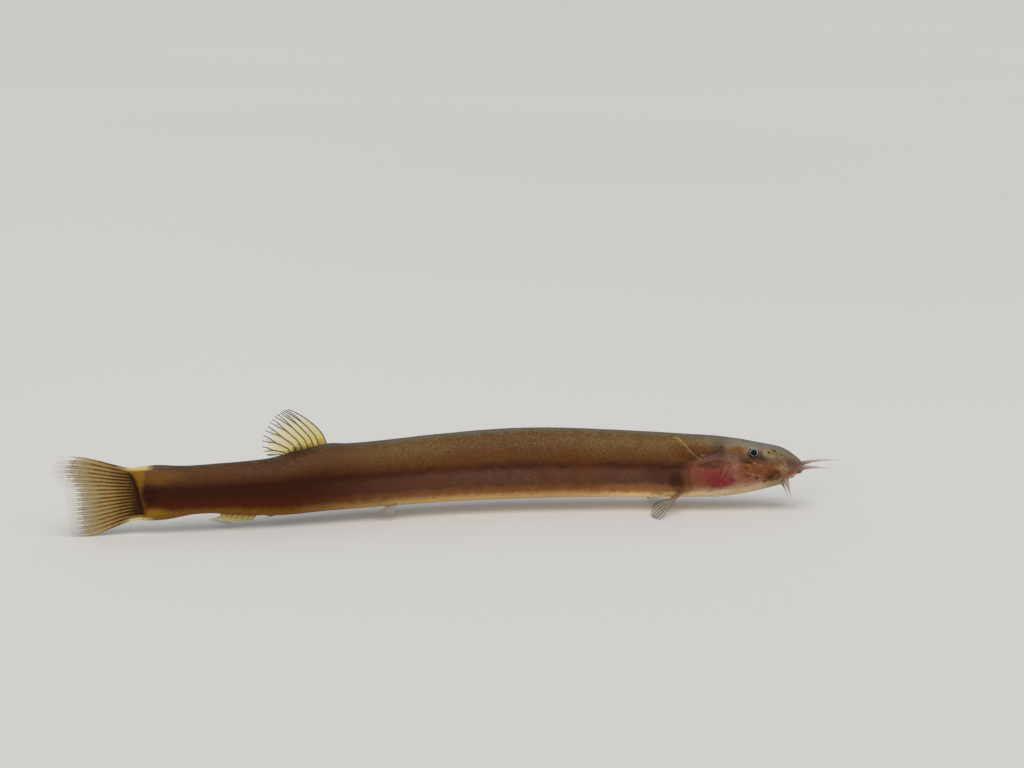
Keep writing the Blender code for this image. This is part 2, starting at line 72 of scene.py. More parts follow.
def smooth(t):
    t = min(1.0, max(0.0, t))
    return t * t * (3.0 - 2.0 * t)


def mix(a, b, t):
    return a + (b - a) * t


def bump(x):
    return math.exp(-x * x)


print("a millimetre is", MM, "of Blender's unit")

# %% [markdown]
# ## The line that the body follows
# The fish lies almost straight and swings its tail toward its right side. A spline drawn by hand could
# give that bend, but a heading that changes smoothly with the distance from the snout is easier to
# repeat exactly, and the solids use the same one. Everything later asks for a place on the body by its
# distance behind the snout.

# %% Walk the body's line
SNOUT = Vector((0.034555, 0.003756, 0.0))
PATH_STEP = 0.00025
PATH_LENGTH = 0.085
BENDS = (
    # degrees, where the bend starts and how long it is, in metres behind the snout
    (21.0, 0.016, 0.030),
    (-9.0, 0.050, 0.018),
)


def heading(s):
    """Which way the head end of the body's line points at s metres behind the snout, in radians."""
    return math.radians(sum(turn * smooth((s - start) / length) for turn, start, length in BENDS))


path = [SNOUT]
for i in range(int(PATH_LENGTH / PATH_STEP)):
    turn = heading((i + 0.5) * PATH_STEP)
    path.append(path[-1] - Vector((math.cos(turn), math.sin(turn), 0.0)) * PATH_STEP)


def along_path(s):
    i = min(len(path) - 2, max(0, int(s / PATH_STEP)))
    return path[i].lerp(path[i + 1], s / PATH_STEP - i)


def ahead(s):
    return Vector((math.cos(heading(s)), math.sin(heading(s)), 0.0))


def left(s):
    return Vector((-math.sin(heading(s)), math.cos(heading(s)), 0.0))


print("the line ends at", [round(c * 1000, 1) for c in path[-1]], "mm")

# %% [markdown]
# ## Sections along the body
# A fish like this is a stack of slightly squared ellipses. Fourteen measured sections are enough when a
# smooth curve runs through them: more would only add lumps.

# %% Read the sections along a smooth curve
STATIONS = (
    # metres behind the snout, height of the axis, rise to the back, drop to the belly, half width
    (0.0000, 0.00430, 0.00120, 0.00105, 0.00150),
    (0.0010, 0.00430, 0.00153, 0.00122, 0.00150),
    (0.0022, 0.00430, 0.00193, 0.00175, 0.00157),
    (0.0044, 0.00430, 0.00240, 0.00238, 0.00185),
    (0.0075, 0.00430, 0.00292, 0.00295, 0.00215),
    (0.0115, 0.00430, 0.00324, 0.00310, 0.00230),
    (0.0180, 0.00440, 0.00352, 0.00320, 0.00235),
    (0.0280, 0.00450, 0.00378, 0.00332, 0.00242),
    (0.0360, 0.00445, 0.00356, 0.00328, 0.00235),
    (0.0450, 0.00430, 0.00335, 0.00315, 0.00212),
    (0.0480, 0.00425, 0.00342, 0.00310, 0.00200),
    (0.0530, 0.00410, 0.00272, 0.00302, 0.00170),
    (0.0595, 0.00400, 0.00255, 0.00228, 0.00132),
    (0.0665, 0.00400, 0.00245, 0.00252, 0.00098),
)


def station(column, s):
    rows = STATIONS
    if s <= rows[0][0]:
        return rows[0][column]
    if s >= rows[-1][0]:
        return rows[-1][column]
    i = max(j for j in range(len(rows) - 1) if rows[j][0] <= s)
    steps = [rows[j + 1][0] - rows[j][0] for j in range(len(rows) - 1)]
    slopes = [(rows[j + 1][column] - rows[j][column]) / steps[j] for j in range(len(rows) - 1)]

    def tangent(j):
        if j in (0, len(rows) - 1):
            return slopes[min(j, len(slopes) - 1)]
        return (steps[j] * slopes[j - 1] + steps[j - 1] * slopes[j]) / (steps[j - 1] + steps[j])

    t = (s - rows[i][0]) / steps[i]
    start = (2 * t ** 3 - 3 * t ** 2 + 1) * rows[i][column]
    end = (3 * t ** 2 - 2 * t ** 3) * rows[i + 1][column]
    bend = (t ** 3 - 2 * t ** 2 + t) * tangent(i) + (t ** 3 - t ** 2) * tangent(i + 1)
    return start + end + bend * steps[i]


print("deepest section is", round((station(2, 0.028) + station(3, 0.028)) * 1000, 1), "mm")

# %% [markdown]
# ## One point of the skin
# A place on the skin is a distance and an angle: 0 is the fish's left side, 90 its back, 180 its right
# side, which the camera sees, and 270 its belly. The snout is rounded off over its first millimetres.
# At the tail the flesh thins quickly to nothing, because on the real fish it ends in a rounded lobe, and
# the rays of the tail fin come out from under it.

# %% The plain form of the skin
SNOUT_ROUNDING = 0.0025
FULLNESS = 2.0 / 2.2
FLESH_SHOULDER = 0.0640
FLESH_END = 0.0668
FLESH_LEAN = 0.00052            # the flesh reaches farther back above than below
FLESH_CORNER = 0.00050          # and still farther at the upper corner
THINNEST = 0.03                 # the share of its width that the flesh keeps at its end
SWELLS = (
    # height and middle of a low swelling or hollow of the head, and its length, in metres
    (0.00008, 0.0058, 0.0009), (-0.00012, 0.0072, 0.00035),     # cheek
    (0.00014, 0.0097, 0.0013), (-0.00014, 0.0118, 0.0008),      # gill cover and the step behind it
)


def flesh_reach(level):
    """How much farther back the flesh reaches at this level than at the axis."""
    return FLESH_LEAN * level + FLESH_CORNER * max(0.0, level) ** 2


def tail_thinning(s, level):
    """How much of its width the flesh still has toward the root of the tail fin."""
    t = (s - flesh_reach(level) - FLESH_SHOULDER) / (FLESH_END - FLESH_SHOULDER)
    t = min(1.0, max(0.0, t))
    return max(THINNEST, math.sqrt(1.0 - t ** 2.4))


@lru_cache(maxsize=None)
def section(s):
    t = min(1.0, max(0.0, s / SNOUT_ROUNDING))
    r = math.sqrt(1.0 - (1.0 - t) ** 2)
    sizes = [station(column, s) * r for column in (2, 3, 4)]
    return along_path(s), left(s), station(1, s), *sizes


def relief(s, degrees):
    """Cheek, gill cover and the step behind it, as they stand in the solids."""
    side = abs(math.cos(math.radians(degrees))) ** 1.5
    return side * sum(height * bump((s - middle) / length) for height, middle, length in SWELLS)


print("the flesh ends", FLESH_END * 1000, "mm behind the snout")


# %% Points and directions of the skin
def level_of(degrees):
    """Height on a section: 1 at the back, 0 at the axis and -1 at the belly."""
    h = math.sin(math.radians(degrees))
    return math.copysign(abs(h) ** FULLNESS, h)


def skin(s, degrees):
    centre, side, axis, rise, drop, half = section(s)
    c = math.cos(math.radians(degrees))
    level = level_of(degrees)
    swell = relief(s, degrees)
    half *= tail_thinning(s, level)
    across = math.copysign(abs(c) ** FULLNESS, c) * (half + swell)
    return centre + side * across + UP * (axis + level * ((rise if level > 0.0 else drop) + swell))


def outward(s, degrees):
    """The direction straight out of the skin, from points a twentieth of a millimetre apart."""
    near = 0.00005
    along = skin(s + near, degrees) - skin(max(0.0, s - near), degrees)
    around = skin(s, degrees + 1.0) - skin(s, degrees - 1.0)
    return along.cross(around).normalized()


print("the camera sees side point", [round(c * 1000, 2) for c in skin(0.030, 180.0)])

# %% [markdown]
# ## From lists of points to pieces
# Every piece here is made of points and faces that are worked out first and handed to Blender in one go,
# which is far quicker than adding them one by one. Along with its position a point may carry numbers,
# such as its distance behind the snout. They are stored on the mesh as attributes, and the materials
# read them back to put each colour in its place.

# %% Turn points and faces into a piece
def make_piece(name, points, faces, values, material, replaced=()):
    mesh = bpy.data.meshes.new(name)
    mesh.from_pydata([tuple(p) for p in points], [], faces)
    mesh.validate()
    mesh.update()
    for key, numbers in values.items():
        layer = mesh.attributes.new(key, "FLOAT", "POINT")
        layer.data.foreach_set("value", np.asarray(numbers, dtype=np.float32))
    mesh.materials.append(material)
    mesh.shade_smooth()
    piece = bpy.data.objects.new(name, mesh)
    bpy.context.scene.collection.objects.link(piece)
    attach(piece, "root")
    if replaced:
        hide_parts(*replaced)
    print(name, "has", len(mesh.vertices), "points")


def ring_faces(first, rings, around):
    """Faces that join rings of points, one after the other, into a tube."""
    faces = []
    for i in range(rings - 1):
        for j in range(around):
            k = (j + 1) % around
            a, b = first + i * around, first + (i + 1) * around
            faces.append((a + j, b + j, b + k, a + k))
    return faces


print("two rings of 4 points are joined by", len(ring_faces(0, 2, 4)), "faces")

# %% [markdown]
# ## Building materials from nodes
# A material here is a chain of small nodes. These helpers add one node each and return its output, so
# that a material reads like a recipe. A number that is the same all over is set straight on the shader,
# because exporters keep it there and lose it when it comes through a node.

# %% Node helpers
def colour(hex_code):
    """A screen colour such as #8A6A3C as the linear colour that nodes want."""
    channels = [int(hex_code[i:i + 2], 16) / 255.0 for i in (1, 3, 5)]
    linear = [c / 12.92 if c <= 0.04045 else ((c + 0.055) / 1.055) ** 2.4 for c in channels]
    return (*linear, 1.0)


def new_material(name):
    material = bpy.data.materials.new(name)
    material.use_nodes = True
    return material, material.node_tree, material.node_tree.nodes["Principled BSDF"]


def add(tree, kind, inputs=(), **settings):
    node = tree.nodes.new("ShaderNode" + kind)
    for key, value in settings.items():
        setattr(node, key, value)
    for socket, value in dict(inputs).items():
        if isinstance(value, bpy.types.NodeSocket):
            tree.links.new(value, node.inputs[socket])
        else:
            node.inputs[socket].default_value = value
    return node


def value_of(tree, name):
    return add(tree, "Attribute", attribute_name=name).outputs["Fac"]


def calc(tree, operation, a, b=0.0, c=0.0):
    return add(tree, "Math", {0: a, 1: b, 2: c}, operation=operation).outputs[0]


def between(tree, value, low, high, to_low=0.0, to_high=1.0):
    """A smooth step: to_low where the value is low, to_high where it is high."""
    inputs = {"Value": value, "From Min": low, "From Max": high, "To Min": to_low, "To Max": to_high}
    return add(tree, "MapRange", inputs, interpolation_type="SMOOTHSTEP").outputs["Result"]


def times(tree, first, *others):
    """All the values multiplied, where each may be a socket or a number."""
    for other in others:
        first = calc(tree, "MULTIPLY", first, other)
    return first


def unsigned(tree, value):
    return calc(tree, "ABSOLUTE", value)


print("helpers for nodes ready")


# %% Helpers for colour and noise
def blend(tree, factor, a, b):
    """Colour a where the factor is 0, and colour b where it is 1."""
    node = add(tree, "Mix", data_type="RGBA")
    for socket, value in ((0, factor), (6, a), (7, b)):
        if isinstance(value, bpy.types.NodeSocket):
            tree.links.new(value, node.inputs[socket])
        else:
            node.inputs[socket].default_value = value
    return node.outputs[2]


def ramp(tree, value, stops):
    node = add(tree, "ValToRGB", {"Fac": value})
    elements = node.color_ramp.elements
    while len(elements) < len(stops):
        elements.new(0.5)
    for element, (place, shade) in zip(elements, stops):
        element.position = place
        element.color = shade
    return node.outputs["Color"]


def grain(tree, size, detail=3.0):
    """Cloudy noise whose blotches are about size metres across, from 0 to 1."""
    where = add(tree, "TexCoord").outputs["Object"]
    inputs = {"Vector": where, "Scale": 1.0 / size, "Detail": detail}
    return add(tree, "TexNoise", inputs).outputs["Fac"]


def cloudy(tree, size):
    """The same noise about zero, to push another number up and down."""
    return calc(tree, "SUBTRACT", grain(tree, size), 0.5)


print("a test colour:", [round(c, 3) for c in colour("#8A6A3C")])

# %% [markdown]
# ## Skin colours
# The real skin is a translucent yellow-brown under a dusting of dark pigment. Painting a picture over it
# would do for one view only. Instead bands run along the body by height, soft patches give the head its
# pattern, and noise breaks both up, so the colour holds on every side and at any distance.
# Each shade is a plain maker's choice with a name, and the bands mix them from belly to back.

# %% Shades of the body
SHADES = {
    # bands of the trunk, from the back down
    "back": "#665E52", "back_low": "#624528", "flank": "#633D1F", "line": "#442214",
    "flank_low": "#603B2B", "under": "#96643A", "belly_gold": "#DEB674", "belly": "#D2B48C",
    # bands of the rear, and the end of the tail stalk
    "rear_back": "#4C463E", "rear_flank": "#58341D", "rear": "#381606", "rear_under": "#521F06",
    "rear_gold": "#86581C", "tail_end": "#8C5E16", "tail_oval": "#2E0F05", "tail_root": "#2A1406",
    "tail_olive": "#A27A1E", "fold": "#D2BA76",
    # the head and the gill cover
    "head_top": "#8A7E6C", "head_grey": "#7E7A74", "cheek": "#7E4A27", "throat": "#DABC96",
    "cream": "#E6D2B0", "chin": "#9C8660", "jaw": "#966448", "jaw_dark": "#462600",
    "snout": "#73584A", "snout_dark": "#5A3A30", "nostril": "#74623C", "pale_rim": "#A09078",
    # the lilac colour is partly a pinkish skin tone and partly a painted sheen on the gill cover
    "gill": "#84272E", "gill_pink": "#8C503C", "gill_arc": "#4A221C", "lilac_tint_and_sheen": "#745452",
    "amber": "#5E300A", "olive": "#72582A", "rust": "#6E3F1E", "girdle": "#381C0A",
    "eye_shade": "#46301F", "ginger": "#764410",
    # mottles, flecks and lines
    "umber": "#402414", "moss": "#8A6E38", "ember": "#6A3614", "copper": "#B0764A",
    "ash": "#86705F", "dark_spot": "#2E1C0A", "gold_line": "#D8BC7A", "pink": "#B07E6C",
    # the bright belly colour is painted light for the shaded belly edge
    # the crease colour is painted shade for grooves, slits and pits, and dark pigment along some folds
    "vein": "#A87062", "crease_shade_and_pigment": "#2E1A10", "painted_belly_light": "#FFE09C",
}
SHADES = {name: colour(code) for name, code in SHADES.items()}
print(len(SHADES), "shades mixed")

# %% [markdown]
# ## Patches
# On the head the colours lie in patches: orange on the cheek, dark red where blood shows through the
# gill cover, olive round the nostrils and nearly black at the corner of the jaw. A few more lie along
# the trunk and at the tail. A patch is an ellipse on the skin, measured in millimetres behind the snout
# and in level, with a soft edge that the noise makes ragged. A table keeps them easy to move.

# %% The patches
PATCHES = (
    # shade, middle (mm, level), half size (mm, level), softness, strength
    ("cheek", (5.3, 0.06), (2.6, 0.36), 0.50, 0.80),
    ("moss", (17.0, 0.72), (6.5, 0.24), 0.90, 0.24),
    ("moss", (41.0, 0.72), (5.0, 0.24), 0.90, 0.22),
    ("amber", (10.6, 0.56), (2.4, 0.26), 0.50, 0.95),
    ("olive", (11.6, 0.84), (2.4, 0.09), 0.70, 0.80),
    ("head_top", (6.4, 0.90), (1.3, 0.08), 0.70, 0.80),
    ("umber", (8.1, 0.86), (1.1, 0.07), 0.80, 0.32),
    ("head_grey", (3.9, 0.97), (2.0, 0.06), 0.70, 0.75),
    ("ginger", (6.55, 0.66), (1.15, 0.15), 0.60, 0.95),
    ("umber", (8.5, 0.64), (0.75, 0.20), 0.70, 0.75),
    # painted sheen: the lilac-grey shine on the upper gill cover
    ("lilac_tint_and_sheen", (9.4, 0.40), (0.9, 0.09), 0.80, 0.75),
    # a pinkish-lilac tone of the skin behind the eye
    ("lilac_tint_and_sheen", (6.9, 0.46), (0.8, 0.12), 0.80, 0.55),
    ("chin", (2.6, -0.80), (1.3, 0.28), 0.60, 0.80),
    ("pink", (7.0, -0.22), (0.7, 0.50), 0.70, 0.35),
    ("gill_pink", (9.8, -0.18), (2.0, 0.42), 0.50, 0.85),
    ("gill_arc", (9.1, 0.15), (1.3, 0.10), 0.80, 0.75),
    ("gill", (8.8, -0.20), (1.9, 0.22), 0.70, 0.60),
    ("gill", (8.3, -0.40), (1.3, 0.22), 0.60, 0.92),
    ("rust", (11.6, -0.48), (0.55, 0.26), 0.70, 0.80),
    ("cream", (9.6, -0.86), (2.4, 0.12), 0.70, 0.85),
    ("girdle", (12.8, -0.36), (0.72, 0.32), 0.60, 0.80),
    ("girdle", (12.5, -0.60), (0.45, 0.16), 0.60, 0.80),
    ("fold", (12.2, -0.93), (0.45, 0.10), 0.80, 0.45),
    ("line", (14.2, -0.10), (1.5, 0.24), 0.70, 0.50),
    ("eye_shade", (5.1, 0.46), (1.35, 0.15), 0.70, 0.85),
    ("eye_shade", (4.4, 0.58), (0.35, 0.22), 0.70, 0.60),
    ("pale_rim", (5.9, 0.66), (0.20, 0.12), 0.80, 0.30),
    ("snout", (1.2, 0.25), (1.5, 0.60), 0.50, 0.80),
    ("snout", (-0.2, 0.0), (0.8, 1.30), 0.30, 0.85),
    ("pink", (0.7, -0.55), (0.6, 0.35), 0.60, 0.45),
    ("snout_dark", (1.0, 0.36), (0.55, 0.22), 0.80, 0.60),
    ("nostril", (3.1, 0.66), (0.85, 0.22), 0.45, 0.90),
    ("pale_rim", (3.85, 0.68), (0.20, 0.12), 0.80, 0.60),
    ("pale_rim", (3.2, 0.56), (0.40, 0.06), 0.90, 0.60),
    ("eye_shade", (2.55, 0.74), (0.20, 0.10), 0.80, 0.60),
    # painted light: a bright patch on the belly edge, which lies in shade under the body, as if light
    # glowed through it
    ("painted_belly_light", (15.5, -0.91), (4.7, 0.14), 0.80, 0.95),
    ("jaw_dark", (3.2, -0.42), (0.60, 0.17), 0.60, 0.97),
    ("jaw_dark", (2.55, -0.33), (0.35, 0.10), 0.70, 0.65),
    ("jaw_dark", (3.8, -0.30), (0.35, 0.09), 0.80, 0.50),
    ("dark_spot", (3.9, -0.55), (0.20, 0.07), 0.70, 0.70),
    ("dark_spot", (4.9, -0.30), (0.18, 0.06), 0.70, 0.65),
    ("crease_shade_and_pigment", (8.2, -0.12), (0.24, 0.08), 0.60, 0.50),
    ("copper", (15.8, -0.64), (3.8, 0.14), 0.80, 0.55),
    ("umber", (54.0, 0.84), (2.4, 0.13), 0.80, 0.50),
    ("umber", (2.9, -0.18), (0.80, 0.14), 0.70, 0.60),
    ("dark_spot", (5.6, 0.30), (0.50, 0.05), 0.70, 0.80),
    ("gold_line", (2.0, -0.05), (0.45, 0.16), 0.90, 0.20),
    ("umber", (50.9, 0.98), (1.5, 0.10), 0.60, 0.90),
    ("tail_end", (64.7, 0.66), (1.6, 0.24), 0.90, 0.40),
    ("tail_olive", (65.4, -0.76), (1.4, 0.18), 0.80, 0.66),
    ("tail_oval", (65.7, -0.03), (0.72, 0.36), 0.40, 0.86),
)
print(len(PATCHES), "patches on each side")

# %% [markdown]
# ## The skin's recipe, in steps
# The recipe is long, so it is written as short steps, and each lays one thing over the colour so far.
# They read numbers from the mesh: place (millimetres behind the snout), level (height on the section),
# down (how far round from the back), hem (the last of the flesh), vein, crease (how deep in a fold, and so
# how dark: painted shade in grooves, slits and pits, and dark pigment along some folds) and glint (how near
# a pale raised line). The first two steps are the bands and the patches.

# %% Bands and patches
TRUNK_BANDS = ((0.00, "belly"), (0.07, "belly_gold"), (0.17, "under"), (0.30, "flank_low"),
               (0.47, "flank_low"), (0.56, "line"), (0.66, "flank"), (0.955, "back_low"), (0.992, "back"))
REAR_BANDS = ((0.00, "rear_gold"), (0.08, "rear_gold"), (0.20, "rear_under"), (0.42, "rear"),
              (0.60, "rear"), (0.78, "rear_flank"), (0.970, "rear_flank"), (0.996, "rear_back"))
HEAD_BANDS = ((0.00, "throat"), (0.12, "throat"), (0.28, "jaw"), (0.46, "cheek"), (0.75, "snout"),
              (0.92, "head_top"), (1.00, "back"))


def banded(tree, place, level):
    """Colours by height for the trunk, the rear and the head, run together along the body."""
    height = calc(tree, "MULTIPLY_ADD", level, 0.5, 0.5)
    trunk, rear, head = [ramp(tree, height, [(stop, SHADES[shade]) for stop, shade in bands])
                         for bands in (TRUNK_BANDS, REAR_BANDS, HEAD_BANDS)]
    body = blend(tree, between(tree, place, 37.0, 53.0), trunk, rear)
    body = blend(tree, between(tree, place, 66.0, 66.6), body, SHADES["tail_end"])
    return blend(tree, between(tree, place, 12.4, 9.8), body, head)


def patched(tree, body, place, level):
    """Each patch of the table as an ellipse, by the distance from its middle in half sizes."""
    spot = add(tree, "CombineXYZ", {"X": place, "Y": level}).outputs[0]
    for shade, middle, size, softness, strength in PATCHES:
        away = add(tree, "VectorMath", {0: spot, 1: (*middle, 0.0)}, operation="SUBTRACT").outputs[0]
        away = add(tree, "VectorMath", {0: away, 1: (*size, 1.0)}, operation="DIVIDE").outputs[0]
        away = add(tree, "VectorMath", {0: away}, operation="LENGTH").outputs["Value"]
        mask = between(tree, away, 1.0 + softness, 1.0 - softness, 0.0, strength)
        body = blend(tree, mask, body, SHADES[shade])
    return body


print("bands:", len(TRUNK_BANDS), "on the trunk,", len(REAR_BANDS), "on the rear,", len(HEAD_BANDS),
      "on the head")

# %% [markdown]
# ## Streaks, mottles and clouds
# Between the bands and the finest flecks lie marks of a middle size. Noise makes them all, and only its
# size, its stretch and the place that it is let through differ: streaks drawn out along the cheek, dark
# and mossy mottles as wide as a scale on the upper flank, and warm clouds with pale speckles below.

# %% Marks of a middle size
def streaked(tree, body, place, level):
    """Pink and brown streaks of the cheek, drawn out towards the mouth."""
    drawn = add(tree, "CombineXYZ", {"X": times(tree, place, 1.1),
                                     "Y": times(tree, value_of(tree, "down"), 6.0)}).outputs[0]
    streak = add(tree, "TexNoise", {"Vector": drawn, "Scale": 1.0, "Detail": 2.0}).outputs["Fac"]
    on_cheek = times(tree, between(tree, place, 3.4, 4.6), between(tree, place, 8.4, 6.8),
                     between(tree, unsigned(tree, level), 0.62, 0.30))
    pink = times(tree, between(tree, streak, 0.52, 0.70, 0.0, 0.50), on_cheek)
    brown = times(tree, between(tree, streak, 0.46, 0.32, 0.0, 0.50), on_cheek)
    return blend(tree, brown, blend(tree, pink, body, SHADES["pink"]), SHADES["umber"])


def mottled(tree, body, place, level):
    """Dark mottles of the upper flank, and mossy ones nearer the back."""
    upper = times(tree, between(tree, level, 0.15, 0.40), between(tree, place, 8.0, 11.0),
                  between(tree, place, 50.0, 30.0, 0.35, 1.0))
    mottle = grain(tree, 0.00028)
    dark = times(tree, between(tree, mottle, 0.50, 0.68, 0.0, 0.40), upper)
    mossy = times(tree, between(tree, mottle, 0.47, 0.32, 0.0, 0.34), upper,
                  between(tree, level, 0.45, 0.80, 0.3, 1.0))
    return blend(tree, mossy, blend(tree, dark, body, SHADES["umber"]), SHADES["moss"])


def clouded(tree, body, place, level):
    """Warm clouds along the flanks, and pale speckles that gather in patches below the dark line."""
    warm = times(tree, between(tree, grain(tree, 0.0026, 2.0), 0.42, 0.75, 0.0, 0.45),
                 between(tree, place, 13.0, 18.0), between(tree, place, 46.0, 36.0),
                 between(tree, unsigned(tree, level), 0.80, 0.50))
    pale = times(tree, between(tree, grain(tree, 0.00008, 2.0), 0.50, 0.66, 0.0, 0.45),
                 between(tree, grain(tree, 0.0016), 0.36, 0.62, 0.15, 1.0),
                 between(tree, unsigned(tree, calc(tree, "ADD", level, 0.22)), 0.36, 0.14),
                 between(tree, place, 12.8, 15.0), between(tree, place, 42.0, 30.0, 0.12, 1.0))
    return blend(tree, pale, blend(tree, warm, body, SHADES["ember"]), SHADES["ash"])


print("three kinds of marks ready")

# %% [markdown]
# ## Flecks, lines and the end of the tail
# The finest marks are single pigment cells, dark ones everywhere and golden ones toward the back, which
# gather in blotches, and dark dots along the side. The mesh itself marks the rest: at the end of the
# flesh the dark roots of the tail's rays, and over everything the veins, the dark of the folds (painted
# shade in grooves, slits and pits, and dark pigment along some folds) and the golden lines.

# %% The finest marks
def with_tail_end(tree, body, place, level):
    """The dark ray roots at the end of the flesh, and the yellow folds above and below them."""
    hem = times(tree, value_of(tree, "hem"), between(tree, unsigned(tree, level), 0.92, 0.78))
    body = blend(tree, hem, body, SHADES["tail_root"])
    edge = between(tree, unsigned(tree, level), 0.90, 0.99)
    return blend(tree, times(tree, edge, between(tree, place, 65.0, 66.2)), body, SHADES["fold"])


def flecked(tree, body, place, level):
    """Dark and golden flecks, finer than the blotches they gather in, and dots along the side."""
    gather = between(tree, grain(tree, 0.0009), 0.35, 0.65, 0.35, 1.0)
    dark = times(tree, between(tree, grain(tree, 0.00009, 2.0), 0.48, 0.75, 0.0, 0.60), gather)
    body = blend(tree, dark, body, SHADES["dark_spot"])
    gold = times(tree, between(tree, grain(tree, 0.00008, 2.0), 0.50, 0.78),
                 between(tree, level, 0.2, 0.85, 0.03, 0.42),
                 between(tree, place, 50.0, 36.0, 0.45, 1.0), gather)
    body = blend(tree, gold, body, SHADES["fold"])
    dots = add(tree, "TexVoronoi", {"Vector": add(tree, "TexCoord").outputs["Object"], "Scale": 1300.0})
    near_line = between(tree, unsigned(tree, calc(tree, "SUBTRACT", level, 0.15)), 0.55, 0.15)
    dots = times(tree, between(tree, dots.outputs["Distance"], 0.12, 0.07, 0.0, 0.65), near_line,
                 between(tree, place, 12.0, 16.0))
    return blend(tree, dots, body, SHADES["dark_spot"])


def lined(tree, body):
    """Veins, painted shade in the folds and pits (partly dark pigment) and the golden lines, where the mesh
    says they run.
    """
    broken = between(tree, grain(tree, 0.0003), 0.35, 0.60, 0.12, 0.62)
    body = blend(tree, times(tree, value_of(tree, "vein"), broken), body, SHADES["vein"])
    # painted shade: darkens grooves, slits and pits by the crease number; along some folds it is dark
    # pigment
    body = blend(tree, times(tree, value_of(tree, "crease_shade_and_pigment"), 0.85), body, SHADES["crease_shade_and_pigment"])
    gilded = times(tree, value_of(tree, "glint"),
                   between(tree, grain(tree, 0.0002), 0.35, 0.60, 0.30, 0.85))
    return blend(tree, gilded, body, SHADES["gold_line"])


print("flecks and lines ready")

# %% [markdown]
# ## The wet surface
# Wet skin is a thin clear coat over a slightly rough layer that lets a little light in. The scales are
# far smaller than a pixel of a photograph, so they are bump only, while folds that have an outline are
# real geometry further down. With that the recipe is whole: before anything is laid down, noise pushes
# place and level about a little, so that no band or patch has a ruled edge.

# %% Mix the skin
def wet_surface(tree, shader, place):
    """Roughness, clear coat, light under the skin, and bump for scales and pores."""
    rough = between(tree, grain(tree, 0.0004), 0.3, 0.7, 0.38, 0.55)
    tree.links.new(rough, shader.inputs["Roughness"])
    shader.inputs["Specular IOR Level"].default_value = 0.06
    shader.inputs["Coat Weight"].default_value = 0.04
    shader.inputs["Coat Roughness"].default_value = 0.16
    shader.inputs["Subsurface Weight"].default_value = 0.12
    shader.inputs["Subsurface Scale"].default_value = 0.0006
    rows = add(tree, "CombineXYZ", {"X": times(tree, place, 4.4),
                                    "Y": times(tree, value_of(tree, "down"), 5.2)}).outputs[0]
    scales = add(tree, "TexVoronoi", {"Vector": rows, "Scale": 1.0, "Randomness": 0.45})
    on_body = between(tree, place, 9.0, 14.0, 0.15, 1.0)
    height = calc(tree, "ADD", times(tree, scales.outputs["Distance"], on_body),
                  times(tree, grain(tree, 0.00012), 0.7))
    lifted = add(tree, "Bump", {"Height": height, "Strength": 0.55, "Distance": 0.000028})
    tree.links.new(lifted.outputs[0], shader.inputs["Normal"])


def skin_material(name, pinkness=0.0):
    material, tree, shader = new_material(name)
    place = value_of(tree, "place")
    level = value_of(tree, "level")
    cloud = cloudy(tree, 0.0011)
    ripple = calc(tree, "ADD", times(tree, cloud, 0.16), times(tree, cloudy(tree, 0.00035), 0.16))
    wavy = calc(tree, "ADD", level, ripple)
    shifted = calc(tree, "ADD", place, times(tree, cloud, 0.9))
    body = patched(tree, banded(tree, shifted, wavy), shifted, wavy)
    for lay_over in (streaked, with_tail_end, mottled, clouded, flecked):
        body = lay_over(tree, body, place, level)
    body = lined(tree, body)
    if pinkness:
        body = blend(tree, pinkness, body, SHADES["pink"])
    tree.links.new(body, shader.inputs["Base Color"])
    wet_surface(tree, shader, place)
    return material


wet_skin = skin_material("wet_brown_skin")
print("skin material has", len(wet_skin.node_tree.nodes), "nodes")
